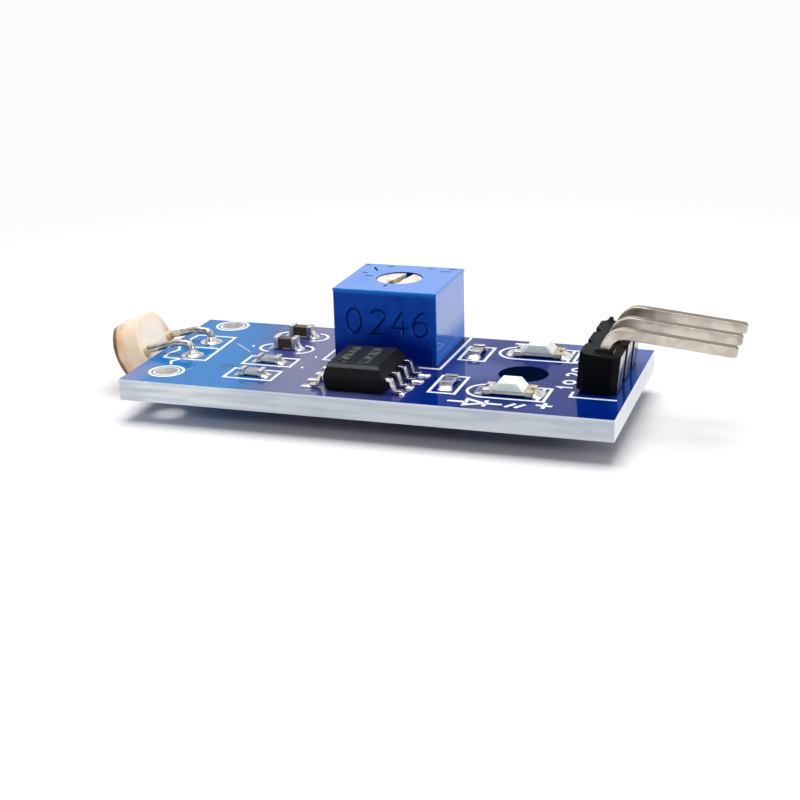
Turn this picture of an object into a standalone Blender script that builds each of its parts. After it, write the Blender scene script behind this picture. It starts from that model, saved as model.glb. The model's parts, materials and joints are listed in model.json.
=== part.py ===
"""Light sensor module: a small circuit board with a photocell, a trimmer, a comparator chip,
two indicator lights, chip resistors and capacitors, and a bent header of three pins.

The origin is the middle of the board's underside. +X runs towards the header and +Z is up.
The trimmer's rotor turns about an upright axis, and everything else is soldered down.
"""

import math

import bmesh
import bpy
from mathutils import Matrix, Vector

MM = 0.001
OUTLINE_ENLARGED = 10_000  # flat outlines are drawn this many times their size

# Fits that are shared by several pieces
SEAT_GAP = 0.02 * MM          # between two pieces that touch
RUNNING_GAP = 0.05 * MM       # round a piece that turns
LAND_HEIGHT = 0.05 * MM       # copper land and solder film under a surface part
TAIL_LENGTH = 1.45 * MM       # how far the pins that the module stands on reach below the board

# Circuit board
BOARD_LENGTH = 32.0 * MM
BOARD_WIDTH = 14.0 * MM
BOARD_THICKNESS = 1.4 * MM
BOLT_HOLE_DIAMETER = 3.2 * MM
BOLT_HOLE_FROM_END = 7.15 * MM
BOLT_HOLE_Y = 0.1 * MM
CORNER_HOLE_DIAMETER = 1.6 * MM
CORNER_HOLE_FROM_END = 2.3 * MM
CORNER_HOLE_NEAR_INSET = 2.22 * MM
CORNER_HOLE_FAR_INSET = 1.2 * MM
SEAT_RISE = 0.01 * MM         # the two bare seats stand proud of the mask by this
SEAT_LENGTH = 4.0 * MM        # seat in the middle of the underside
SEAT_WIDTH = 2.8 * MM
SCREW_SEAT_LENGTH = 2.3 * MM  # seat for a screw's head, between the bolt hole and the header
SCREW_SEAT_MARGIN = 0.05 * MM

# Photocell
CELL_DIAMETER = 4.65 * MM
CELL_ACROSS_FLATS = 4.25 * MM
CELL_THICKNESS = 2.0 * MM
CELL_EDGE_ROUND = 0.42 * MM
CELL_REACH = 2.73 * MM        # from the board's end to the middle of the cell's face
CELL_FACE_HEIGHT = -0.63 * MM  # of that middle, from the board's top
CELL_Y = 0.33 * MM
CELL_DROOP = math.radians(22.7)
CELL_ROLL = math.radians(0.8)
CELL_LEAD_DIAMETER = 0.5 * MM
CELL_LEAD_PITCH = 3.45 * MM
CELL_PAD_PITCH = 3.04 * MM
CELL_PAD_FROM_END = 2.47 * MM
CELL_LEAD_RISE = 0.8 * MM     # top of the lead's arch above the board, on its middle line
CELL_LEAD_SHOULDER = 1.1 * MM  # from the arch's first bend to the pad
CELL_LEAD_STEM = 0.3 * MM      # straight run behind the cell
CELL_LEAD_BEND = 0.45 * MM
CELL_TRACK_WIDTH = 0.22 * MM
CELL_TRACK_HEIGHT = 0.06 * MM
CELL_TRACK_RUNS = 6
CELL_TRACK_PITCH = 0.42 * MM
CELL_TRACK_RUN_LENGTH = 2.3 * MM
CELL_TRACK_TURN_SHARE = 0.95   # of the widest turn that fits between two runs

# Trimmer
TRIMMER_LENGTH = 7.1 * MM
TRIMMER_WIDTH = 6.75 * MM
TRIMMER_HEIGHT = 4.83 * MM
TRIMMER_FAR_MARGIN = 0.08 * MM
TRIMMER_WALL = 0.7 * MM
TRIMMER_ROOF = 1.0 * MM
TRIMMER_LIP_HEIGHT = 0.14 * MM
TRIMMER_LIP_OVERHANG = 0.05 * MM
TRIMMER_BASE_RECESS = 0.5 * MM
TRIMMER_BASE_THICKNESS = 1.3 * MM
TRIMMER_PIN_DIAMETER = 0.5 * MM
TRIMMER_PIN_CLEARANCE = 0.06 * MM  # from the front pins' sides to the case's walls
TRIMMER_PIN_STAGGER = 2.54 * MM    # between the front pins' row and the pin behind it
TRIMMER_TAIL_LENGTH = 1.2 * MM
ROTOR_DIAMETER = 3.0 * MM
ROTOR_SINK = 0.08 * MM        # rotor's top below the case's top
ROTOR_FLANGE_MARGIN = 0.475 * MM   # from the flange's rim to the case's walls
ROTOR_FLANGE_THICKNESS = 0.6 * MM
ROTOR_BOSS_LENGTH = 0.6 * MM
ROTOR_SLOT_WIDTH = 0.55 * MM
ROTOR_SLOT_DEPTH = 0.6 * MM
ROTOR_SLOT_ANGLE = math.radians(79.0)
WIPER_THICKNESS = 0.12 * MM
WIPER_RING_INSET = 0.3 * MM   # from the ring's rim in to the track's middle line
WIPER_RING_WIDTH = 0.63 * MM
WIPER_ARM_WIDTH = 0.8 * MM
TRACK_MARGIN = 0.225 * MM     # from the track's rim to the case's walls
TRACK_WIDTH = 0.7 * MM
TRACK_HEIGHT = 0.08 * MM
TRACK_OPENING = math.radians(70.0)

# Comparator chip, an eight-lead package
CHIP_WIDTH = 3.9 * MM
CHIP_LENGTH = 4.9 * MM
CHIP_STANDOFF = 0.12 * MM
CHIP_TOP_HEIGHT = 1.68 * MM
CHIP_TOP_LEFT_DRAFT = 0.15 * MM
CHIP_TOP_RIGHT_DRAFT = 0.46 * MM
CHIP_TOP_END_DRAFT = 0.5 * MM
CHIP_BOTTOM_DRAFT = 0.1 * MM
CHIP_X_SHIFT = 0.01 * MM      # from the trimmer's middle
CHIP_Y_SHIFT = -0.2 * MM      # from midway between the board's near edge and the trimmer
CHIP_LEAD_PITCH = 1.27 * MM
CHIP_LEADS_A_SIDE = 4
CHIP_LEAD_WIDTH = 0.42 * MM
CHIP_LEAD_THICKNESS = 0.2 * MM
CHIP_LEAD_SPAN = 6.0 * MM
CHIP_LEAD_FOOT = 0.5 * MM
CHIP_LEAD_BEND = 0.15 * MM

# Chip resistors and capacitors
CHIP_PART_LENGTH = 1.6 * MM
CHIP_PART_WIDTH = 0.8 * MM
RESISTOR_HEIGHT = 0.42 * MM
CAPACITOR_HEIGHT = 0.8 * MM
END_CAP_LENGTH = 0.32 * MM
END_CAP_THICKNESS = 0.05 * MM
LEFT_ROW_SHIFT = 0.84 * MM    # from midway between the photocell's pads and the trimmer
LEFT_ROW_Y = (-4.15 * MM, -1.35 * MM, 1.7 * MM, 4.5 * MM)
SERIES_GAP = 1.73 * MM        # from the trimmer's side to the middle of the lights' resistors
SERIES_TO_LIGHTS = 4.05 * MM
SERIES_NEAR_INSET = 3.93 * MM
SERIES_FAR_INSET = 3.6 * MM

# Indicator lights
LIGHT_LENGTH = 3.2 * MM
LIGHT_WIDTH = 1.6 * MM
LIGHT_BASE_HEIGHT = 0.3 * MM
LIGHT_LENS_LENGTH = 2.1 * MM
LIGHT_LENS_TOP = 1.15 * MM
LIGHT_LENS_HEIGHT = 0.5 * MM
LIGHT_LENS_DRAFT = 0.06 * MM
LIGHT_NOTCH_DIAMETER = 0.6 * MM
LIGHT_TERMINAL_THICKNESS = 0.05 * MM
LIGHT_FROM_END = 7.08 * MM
LIGHT_NEAR_INSET = 3.37 * MM
LIGHT_FAR_INSET = 2.7 * MM

# Header
HEADER_PITCH = 2.54 * MM
HEADER_PINS = 3
HEADER_BODY_WIDTH = 2.54 * MM
HEADER_BODY_HEIGHT = 2.4 * MM
HEADER_BODY_CHAMFER = 0.42 * MM
HEADER_LEAN = math.radians(5.0)  # it was soldered leaning towards the board's end
HEADER_FROM_END = 0.7 * MM     # its lower right edge, on which it rests
HEADER_Y = 0.81 * MM
HEADER_PIN_WIDTH = 0.64 * MM
HEADER_PIN_OFFSET = 0.16 * MM  # the row of pins from the body's middle line
HEADER_PIN_TOP = 3.97 * MM     # crest of a pin's bend above the body's foot
HEADER_PIN_BEND = 1.18 * MM
HEADER_PIN_DIP = math.radians(0.9)  # what the bend has beyond a right angle
HEADER_PIN_REACH = 7.83 * MM   # pin tips beyond the pin's upright run
HEADER_TIP_LENGTH = 0.18 * MM
HEADER_TIP_SHARE = 0.7
HEADER_COLLAR_WIDTH = 1.3 * MM
HEADER_COLLAR_HEIGHT = 0.18 * MM
HEADER_COLLAR_TAPER = 0.85
HEADER_BURR_ROOT = (0.64 * MM, 1.2 * MM)
HEADER_BURR_TIP = (0.2 * MM, 0.6 * MM)
HEADER_BURR_HEIGHT = 0.6 * MM  # burr left where the header was snapped off, from root to tip
HEADER_BURR_SINK = 0.4 * MM
HEADER_BURR_X = -0.76 * MM     # from the body's middle line
HEADER_BURR_LEAN = (math.radians(-18), math.radians(8), 0)

# Through-hole solder joints under the board
PIN_HOLE_MARGIN = 0.1 * MM    # board hole beyond the pin, on each side
JOINT_COLLAR = 0.42 * MM      # solder beyond the board hole, on each side
JOINT_WALL = 0.1 * MM         # solder left round the pin at the joint's tip
JOINT_HEIGHT = 0.8 * MM
JOINT_STEPS = 4

LEFT_END = -BOARD_LENGTH / 2
RIGHT_END = BOARD_LENGTH / 2
NEAR_EDGE = -BOARD_WIDTH / 2
FAR_EDGE = BOARD_WIDTH / 2
TOP = BOARD_THICKNESS
LAND_TOP = TOP + LAND_HEIGHT
BOLT_HOLE_X = RIGHT_END - BOLT_HOLE_FROM_END
LIGHT_X = RIGHT_END - LIGHT_FROM_END
SERIES_X = LIGHT_X - SERIES_TO_LIGHTS
TRIMMER_X = SERIES_X - SERIES_GAP - TRIMMER_LENGTH / 2
TRIMMER_Y = FAR_EDGE - TRIMMER_FAR_MARGIN - TRIMMER_WIDTH / 2
TRIMMER_FRONT = TRIMMER_Y - TRIMMER_WIDTH / 2
TRIMMER_SEAT = TOP + SEAT_GAP
TRIMMER_TOP = TRIMMER_SEAT + TRIMMER_HEIGHT
TRIMMER_ROOM = min(TRIMMER_LENGTH, TRIMMER_WIDTH) / 2 - TRIMMER_WALL
ROTOR_FLANGE_RADIUS = TRIMMER_ROOM - ROTOR_FLANGE_MARGIN
TRACK_RADIUS = TRIMMER_ROOM - TRACK_MARGIN - TRACK_WIDTH / 2
WIPER_OUTER_RADIUS = TRACK_RADIUS - WIPER_RING_INSET
WIPER_INNER_RADIUS = WIPER_OUTER_RADIUS - WIPER_RING_WIDTH
ROTOR_BOSS_RADIUS = WIPER_INNER_RADIUS - SEAT_GAP
CHIP_X = TRIMMER_X + CHIP_X_SHIFT
CHIP_Y = (NEAR_EDGE + TRIMMER_FRONT) / 2 + CHIP_Y_SHIFT
HEADER_FOOT_X = RIGHT_END - HEADER_FROM_END
HEADER_PIN_INSET = HEADER_BODY_WIDTH / 2 - HEADER_PIN_OFFSET  # from the body's right side
CELL_PAD_X = LEFT_END + CELL_PAD_FROM_END
LEFT_ROW_X = (CELL_PAD_X + TRIMMER_X - TRIMMER_LENGTH / 2) / 2 + LEFT_ROW_SHIFT


def clear_scene():
    for obj in list(bpy.data.objects):
        bpy.data.objects.remove(obj, do_unlink=True)


def new_collection(name):
    made = bpy.data.collections.new(name)
    bpy.context.scene.collection.children.link(made)
    return made


def new_material(name, colour, roughness, metallic=0.0):
    made = bpy.data.materials.new(name)
    made.use_nodes = True
    shader = made.node_tree.nodes["Principled BSDF"]
    shader.inputs["Base Color"].default_value = (*colour, 1.0)
    shader.inputs["Roughness"].default_value = roughness
    shader.inputs["Metallic"].default_value = metallic
    made.diffuse_color = (*colour, 1.0)
    return made


clear_scene()
PARTS = new_collection("light_sensor_module")
CUTTERS = new_collection("cutters")
BLUE_BOARD = new_material("blue_solder_mask", (0.005, 0.02, 0.27), 0.15)
BLUE_CASE = new_material("blue_case_plastic", (0.01, 0.09, 0.55), 0.3)
CREAM_ROTOR = new_material("cream_rotor_plastic", (0.78, 0.68, 0.52), 0.4)
WHITE_CERAMIC = new_material("white_ceramic", (0.8, 0.78, 0.74), 0.5)
CELL_CERAMIC = new_material("cream_cell_resin", (0.85, 0.68, 0.52), 0.3)
CELL_TRACK = new_material("orange_cell_track", (0.75, 0.25, 0.06), 0.4)
BLACK_RESIN = new_material("black_chip_resin", (0.015, 0.015, 0.017), 0.45)
BLACK_NYLON = new_material("black_header_plastic", (0.012, 0.012, 0.014), 0.5)
DARK_GLAZE = new_material("dark_resistor_glaze", (0.02, 0.02, 0.025), 0.25)
BROWN_CERAMIC = new_material("brown_capacitor_ceramic", (0.1, 0.055, 0.02), 0.4)
MILKY_LENS = new_material("milky_lens", (0.8, 0.88, 0.78), 0.2)
PALE_BASE = new_material("pale_light_base", (0.75, 0.75, 0.68), 0.4)
TIN = new_material("tinned_metal", (0.75, 0.74, 0.72), 0.25, 1.0)
NICKEL = new_material("warm_pin_metal", (0.72, 0.66, 0.58), 0.3, 1.0)
SPRING = new_material("spring_metal", (0.8, 0.65, 0.4), 0.3, 1.0)
SOLDER = new_material("solder", (0.7, 0.7, 0.72), 0.2, 1.0)


def new_empty(name, matrix):
    empty = bpy.data.objects.new(name, None)
    empty.matrix_world = matrix
    empty.empty_display_size = 2.0 * MM
    PARTS.objects.link(empty)
    return empty


def add_part(name, mesh, look, place=(0, 0, 0), turn=(0, 0, 0), parent=None):
    """A named piece that is drawn, placed by its location and rotation."""
    obj = bpy.data.objects.new(name, mesh)
    if not mesh.materials:
        mesh.materials.append(look)
    obj.location = place
    obj.rotation_euler = turn
    obj.parent = parent
    PARTS.objects.link(obj)
    return obj


def add_cutter(name, mesh, place=(0, 0, 0), turn=(0, 0, 0), parent=None):
    """A helper for a Boolean. It is never drawn."""
    obj = bpy.data.objects.new(name, mesh)
    obj.location = place
    obj.rotation_euler = turn
    obj.parent = parent
    obj.hide_render = True
    obj.display_type = "WIRE"
    CUTTERS.objects.link(obj)
    return obj


def combine(obj, other, operation):
    boolean = obj.modifiers.new(f"{operation.title()} {other.name}", "BOOLEAN")
    boolean.object = other
    boolean.operation = operation
    return obj


def mesh_of(bm, name, smooth=False):
    bmesh.ops.recalc_face_normals(bm, faces=bm.faces)
    mesh = bpy.data.meshes.new(name)
    bm.to_mesh(mesh)
    bm.free()
    if smooth:
        mesh.shade_smooth()
        mesh.set_sharp_from_angle(angle=math.radians(35))
    return mesh


def box_mesh(name, length, width, height):
    bm = bmesh.new()
    bmesh.ops.create_cube(bm, size=1.0, matrix=Matrix.Diagonal((length, width, height, 1.0)))
    return mesh_of(bm, name)


def rod_mesh(name, diameter, length, sides=20):
    bm = bmesh.new()
    bmesh.ops.create_cone(
        bm, cap_ends=True, segments=sides, radius1=diameter / 2, radius2=diameter / 2, depth=length
    )
    return mesh_of(bm, name, smooth=True)


def drafted_mesh(name, rings):
    """A rectangular block drawn up through rings, as a mould drafts it.

    A ring is (length, width, height), and may add how far its middle lies along X.
    """
    bm = bmesh.new()
    bmesh.ops.create_cube(bm, size=1.0)

    def place(verts, ring):
        length, width, height, *shift = ring
        middle = sum(vert.co.x for vert in verts) / len(verts)
        for vert in verts:
            vert.co.x = math.copysign(length / 2, vert.co.x - middle) + sum(shift)
            vert.co.y = math.copysign(width / 2, vert.co.y)
            vert.co.z = height

    top = next(face for face in bm.faces if face.normal.z > 0.5)
    place([vert for vert in bm.verts if vert.co.z < 0], rings[0])
    place(top.verts, rings[1])
    for ring in rings[2:]:
        made = bmesh.ops.extrude_discrete_faces(bm, faces=[top])
        top = made["faces"][0]
        place(top.verts, ring)
    return mesh_of(bm, name)


def weld(bm):
    bmesh.ops.remove_doubles(bm, verts=bm.verts, dist=0.0005 * MM)


def plate_mesh(name, outline, thickness):
    """A flat outline given its thickness, lying in its own XY plane and centred on it.

    Blender's curve fill merges points that lie within 0.03 mm, so the outline is drawn
    much larger, and its mesh is brought back to size.
    """
    curve = bpy.data.curves.new(name, "CURVE")
    curve.dimensions = "2D"
    curve.fill_mode = "BOTH"
    curve.extrude = thickness / 2 * OUTLINE_ENLARGED
    spline = curve.splines.new("POLY")
    spline.points.add(len(outline) - 1)
    for point, (x, y) in zip(spline.points, outline):
        point.co = (x * OUTLINE_ENLARGED, y * OUTLINE_ENLARGED, 0, 1)
    spline.use_cyclic_u = True
    return mesh_of_curve(curve, 1 / OUTLINE_ENLARGED)


def wire_mesh(name, route, diameter, resolution=2):
    """A round wire along a route of points."""
    curve = bpy.data.curves.new(name, "CURVE")
    curve.dimensions = "3D"
    curve.bevel_depth = diameter / 2
    curve.bevel_resolution = resolution
    curve.use_fill_caps = True
    spline = curve.splines.new("POLY")
    spline.points.add(len(route) - 1)
    for point, place in zip(spline.points, route):
        point.co = (*place, 1)
    return mesh_of_curve(curve, 1.0)


def square_bar_mesh(name, route, width, tip_length, tip_share):
    """A square bar along a route of points, with both ends drawn in to a blunt tip.

    A round bevel of resolution 0 has four corners, and a tilt of 45 degrees stands it square.
    """
    first, last = Vector(route[0]), Vector(route[-1])
    start = first + (Vector(route[1]) - first).normalized() * tip_length
    end = last + (Vector(route[-2]) - last).normalized() * tip_length
    stations = [first, start, *route[1:-1], end, last]
    curve = bpy.data.curves.new(name, "CURVE")
    curve.dimensions = "3D"
    curve.twist_mode = "MINIMUM"
    curve.bevel_depth = width / math.sqrt(2)
    curve.bevel_resolution = 0
    curve.use_fill_caps = True
    spline = curve.splines.new("POLY")
    spline.points.add(len(stations) - 1)
    for point, place in zip(spline.points, stations):
        point.co = (*place, 1)
        point.tilt = math.radians(45)
        point.radius = 1.0
    spline.points[0].radius = tip_share
    spline.points[-1].radius = tip_share
    return mesh_of_curve(curve, 1.0)


def mesh_of_curve(curve, scale):
    """Turns a finished curve into a closed mesh, with its caps welded on."""
    source = bpy.data.objects.new(curve.name, curve)
    CUTTERS.objects.link(source)
    bpy.context.view_layer.update()
    graph = bpy.context.evaluated_depsgraph_get()
    drawn = bpy.data.meshes.new_from_object(source.evaluated_get(graph))
    bm = bmesh.new()
    bm.from_mesh(drawn)
    bmesh.ops.scale(bm, vec=(scale, scale, scale), verts=bm.verts)
    weld(bm)
    bpy.data.objects.remove(source)
    bpy.data.meshes.remove(drawn)
    name = curve.name
    bpy.data.curves.remove(curve)
    return mesh_of(bm, name, smooth=True)


def turned_part(name, profile, look, sides, place=(0, 0, 0), parent=None, closed=False):
    """A turned piece. The profile of (radius, height) runs down its outer side."""
    bm = bmesh.new()
    verts = [bm.verts.new((radius, 0, height)) for radius, height in profile]
    for a, b in zip(verts, verts[1:] + (verts[:1] if closed else [])):
        bm.edges.new((a, b))
    mesh = bpy.data.meshes.new(name)
    bm.to_mesh(mesh)
    bm.free()
    obj = add_part(name, mesh, look, place, parent=parent)
    screw = obj.modifiers.new("Turn", "SCREW")
    screw.steps = sides
    screw.render_steps = sides
    screw.use_merge_vertices = True
    screw.merge_threshold = 0.0001 * MM
    return obj


def rounded_route(corners, radius, steps=6):
    """The corners of a route with each inner one turned into an arc."""
    corners = [Vector(corner) for corner in corners]
    route = [corners[0]]
    for before, corner, after in zip(corners, corners[1:], corners[2:]):
        back = (before - corner).normalized()
        ahead = (after - corner).normalized()
        half = back.angle(ahead) / 2
        centre = corner + (back + ahead).normalized() * radius / math.sin(half)
        first = (corner + back * radius / math.tan(half) - centre).normalized()
        last = (corner + ahead * radius / math.tan(half) - centre).normalized()
        route += [centre + first.slerp(last, step / steps) * radius for step in range(steps + 1)]
    return route + [corners[-1]]


def ribbon_outline(route, width):
    """The outline of a strip of even width along a flat route of (x, y) points."""
    points = [Vector(point) for point in route]
    left, right = [], []
    for index, point in enumerate(points):
        before = (point - points[max(index - 1, 0)]).normalized()
        after = (points[min(index + 1, len(points) - 1)] - point).normalized()
        run = (before + after).normalized()
        normal = Vector((-run.y, run.x))
        lean = max(normal.dot(Vector((-after.y, after.x))), normal.dot(Vector((-before.y, before.x))))
        left.append(point + normal * width / 2 / lean)
        right.append(point - normal * width / 2 / lean)
    return left + right[::-1]


def arc(radius, start, end, steps, centre=(0, 0)):
    angles = [start + (end - start) * step / steps for step in range(steps + 1)]
    return [(centre[0] + radius * math.cos(a), centre[1] + radius * math.sin(a)) for a in angles]


def trimmer_pins():
    """Places of the trimmer's three pins: the track's two ends in front, the wiper's behind."""
    side = TRIMMER_LENGTH / 2 - TRIMMER_WALL - TRIMMER_PIN_CLEARANCE - TRIMMER_PIN_DIAMETER / 2
    half = TRIMMER_PIN_STAGGER / 2
    return [
        (TRIMMER_X - side, TRIMMER_Y - half),
        (TRIMMER_X, TRIMMER_Y + half),
        (TRIMMER_X + side, TRIMMER_Y - half),
    ]


def cell_pads():
    return [(CELL_PAD_X, CELL_Y - CELL_PAD_PITCH / 2), (CELL_PAD_X, CELL_Y + CELL_PAD_PITCH / 2)]


def header_matrix():
    """The header's own frame: its origin on the lower right edge of the body, +Z up its pins."""
    foot = Vector((HEADER_FOOT_X, HEADER_Y, TOP + SEAT_GAP))
    return Matrix.Translation(foot) @ Matrix.Rotation(HEADER_LEAN, 4, "Y")


def header_pins(height):
    """Where the leaning pins pass a height."""
    rise = height - TOP - SEAT_GAP - HEADER_PIN_INSET * math.sin(HEADER_LEAN)
    x = HEADER_FOOT_X - HEADER_PIN_INSET * math.cos(HEADER_LEAN) + rise * math.tan(HEADER_LEAN)
    first = HEADER_Y - HEADER_PITCH * (HEADER_PINS - 1) / 2
    return [(x, first + HEADER_PITCH * index) for index in range(HEADER_PINS)]


def corner_holes():
    x = LEFT_END + CORNER_HOLE_FROM_END
    return [(x, NEAR_EDGE + CORNER_HOLE_NEAR_INSET), (x, FAR_EDGE - CORNER_HOLE_FAR_INSET)]


def round_pin_hole(diameter):
    return diameter + 2 * PIN_HOLE_MARGIN


def header_hole():
    """Wide enough for a square pin's corners where it leans through the board."""
    return HEADER_PIN_WIDTH * math.sqrt(2) + PIN_HOLE_MARGIN + BOARD_THICKNESS * math.tan(HEADER_LEAN)


def build_board():
    board = add_part(
        "circuit_board",
        box_mesh("circuit_board", BOARD_LENGTH, BOARD_WIDTH, BOARD_THICKNESS - 2 * SEAT_RISE),
        BLUE_BOARD, place=(0, 0, BOARD_THICKNESS / 2),
    )
    screw_seat_x = BOLT_HOLE_X + BOLT_HOLE_DIAMETER / 2 + SCREW_SEAT_MARGIN + SCREW_SEAT_LENGTH / 2
    for name, length, x, middle in (
        ("underside_seat", SEAT_LENGTH, 0, BOARD_THICKNESS / 4),
        ("screw_seat", SCREW_SEAT_LENGTH, screw_seat_x, TOP - BOARD_THICKNESS / 4),
    ):
        seat = add_cutter(name, box_mesh(name, length, SEAT_WIDTH, BOARD_THICKNESS / 2), (x, 0, middle))
        combine(board, seat, "UNION")
    bores = [("bolt_hole", BOLT_HOLE_X, BOLT_HOLE_Y, BOLT_HOLE_DIAMETER, 48)]
    bores += [("corner_hole", x, y, CORNER_HOLE_DIAMETER, 32) for x, y in corner_holes()]
    bores += [("cell_hole", x, y, round_pin_hole(CELL_LEAD_DIAMETER), 16) for x, y in cell_pads()]
    bores += [
        ("trimmer_hole", x, y, round_pin_hole(TRIMMER_PIN_DIAMETER), 16) for x, y in trimmer_pins()
    ]
    bores += [("header_hole", x, y, header_hole(), 20) for x, y in header_pins(BOARD_THICKNESS / 2)]
    for name, x, y, diameter, sides in bores:
        bore = add_cutter(
            name, rod_mesh(name, diameter, 2 * BOARD_THICKNESS, sides), (x, y, BOARD_THICKNESS / 2)
        )
        combine(board, bore, "DIFFERENCE")


def cell_matrix():
    """The photocell's own frame: +Z out of its face, Y along its row of leads."""
    face = Vector((LEFT_END - CELL_REACH, CELL_Y, TOP + CELL_FACE_HEIGHT))
    droop = Matrix.Rotation(-math.pi / 2 - CELL_DROOP, 4, "Y")
    roll = Matrix.Rotation(-CELL_ROLL, 4, "Z")
    return Matrix.Translation(face) @ droop @ roll


def cell_outline():
    """A circle with two flats."""
    flat = math.asin(CELL_ACROSS_FLATS / CELL_DIAMETER)
    right = arc(CELL_DIAMETER / 2, -flat, flat, 16)
    left = arc(CELL_DIAMETER / 2, math.pi - flat, math.pi + flat, 16)
    return [(y, x) for x, y in right + left]


def cell_track_route():
    """The sensing track's route over the face, back and forth across the cell."""
    reach = CELL_TRACK_RUN_LENGTH / 2
    first = -CELL_TRACK_PITCH * (CELL_TRACK_RUNS - 1) / 2
    route = []
    for run in range(CELL_TRACK_RUNS):
        side = 1 if run % 2 else -1
        y = first + CELL_TRACK_PITCH * run
        route += [(side * reach, y), (-side * reach, y)]
    return rounded_route(route, CELL_TRACK_PITCH / 2 * CELL_TRACK_TURN_SHARE, 4)


def build_photocell():
    frame = new_empty("photocell_frame", cell_matrix())
    body = add_part(
        "photocell_body", plate_mesh("photocell_body", cell_outline(), CELL_THICKNESS),
        CELL_CERAMIC, (0, 0, -CELL_THICKNESS / 2), parent=frame,
    )
    edge = body.modifiers.new("Rounded rim", "BEVEL")
    edge.width = CELL_EDGE_ROUND
    edge.segments = 3
    edge.limit_method = "ANGLE"
    edge.angle_limit = math.radians(60)
    for side in (-1, 1):
        bore = add_cutter(
            "cell_lead_bore", rod_mesh("cell_lead_bore", CELL_LEAD_DIAMETER + 2 * SEAT_GAP,
                                       CELL_THICKNESS * 2, 16),
            (0, side * CELL_LEAD_PITCH / 2, -CELL_THICKNESS / 2), parent=frame,
        )
        combine(body, bore, "DIFFERENCE")
    track = plate_mesh(
        "photocell_track", ribbon_outline(cell_track_route(), CELL_TRACK_WIDTH), CELL_TRACK_HEIGHT
    )
    add_part(
        "photocell_track", track, CELL_TRACK,
        (0, 0, SEAT_GAP + CELL_TRACK_HEIGHT / 2), parent=frame,
    )
    for name, side, (pad_x, pad_y) in zip(("near", "far"), (-1, 1), cell_pads()):
        seat = cell_matrix() @ Vector((0, side * CELL_LEAD_PITCH / 2, 0))
        back = cell_matrix() @ Vector((0, side * CELL_LEAD_PITCH / 2, -CELL_THICKNESS - CELL_LEAD_STEM))
        shoulder = Vector((pad_x - CELL_LEAD_SHOULDER, pad_y, TOP + CELL_LEAD_RISE))
        bend = Vector((pad_x, pad_y, TOP + CELL_LEAD_RISE))
        corners = [seat, back, shoulder, bend, Vector((pad_x, pad_y, -TAIL_LENGTH))]
        label = f"photocell_lead_{name}"
        add_part(label, wire_mesh(label, rounded_route(corners, CELL_LEAD_BEND), CELL_LEAD_DIAMETER), TIN)


def build_trimmer_case():
    lip = 2 * TRIMMER_LIP_OVERHANG
    shoulder = TRIMMER_HEIGHT - TRIMMER_LIP_HEIGHT
    rings = [
        (TRIMMER_LENGTH - lip, TRIMMER_WIDTH - lip, 0),
        (TRIMMER_LENGTH - lip, TRIMMER_WIDTH - lip, shoulder - TRIMMER_LIP_OVERHANG),
        (TRIMMER_LENGTH, TRIMMER_WIDTH, shoulder),
        (TRIMMER_LENGTH, TRIMMER_WIDTH, TRIMMER_HEIGHT),
    ]
    case = add_part(
        "trimmer_case", drafted_mesh("trimmer_case", rings), BLUE_CASE,
        (TRIMMER_X, TRIMMER_Y, TRIMMER_SEAT),
    )
    room = TRIMMER_HEIGHT - TRIMMER_ROOF
    walls = 2 * TRIMMER_WALL
    hollow = add_cutter(
        "case_hollow",
        box_mesh("case_hollow", TRIMMER_LENGTH - walls, TRIMMER_WIDTH - walls, 2 * room),
        (TRIMMER_X, TRIMMER_Y, TRIMMER_SEAT),
    )
    bore = add_cutter(
        "rotor_bore", rod_mesh("rotor_bore", ROTOR_DIAMETER + 2 * RUNNING_GAP, 3 * TRIMMER_ROOF, 40),
        (TRIMMER_X, TRIMMER_Y, TRIMMER_TOP),
    )
    combine(case, hollow, "DIFFERENCE")
    combine(case, bore, "DIFFERENCE")


def build_trimmer_rotor(axis):
    """The turned rotor hangs under the case's roof by its flange."""
    top = TRIMMER_TOP - ROTOR_SINK
    flange_top = TRIMMER_TOP - TRIMMER_ROOF - SEAT_GAP
    flange_bottom = flange_top - ROTOR_FLANGE_THICKNESS
    profile = [
        (0, top),
        (ROTOR_DIAMETER / 2, top),
        (ROTOR_DIAMETER / 2, flange_top),
        (ROTOR_FLANGE_RADIUS, flange_top),
        (ROTOR_FLANGE_RADIUS, flange_bottom),
        (ROTOR_BOSS_RADIUS, flange_bottom),
        (ROTOR_BOSS_RADIUS, flange_bottom - ROTOR_BOSS_LENGTH),
        (0, flange_bottom - ROTOR_BOSS_LENGTH),
    ]
    rotor = turned_part("trimmer_rotor", profile, CREAM_ROTOR, 40, parent=axis)
    slot = add_cutter(
        "rotor_slot", box_mesh("rotor_slot", 2 * ROTOR_DIAMETER, ROTOR_SLOT_WIDTH, 2 * ROTOR_SLOT_DEPTH),
        (0, 0, top), (0, 0, ROTOR_SLOT_ANGLE), parent=axis,
    )
    combine(rotor, slot, "DIFFERENCE")
    return flange_bottom


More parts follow.
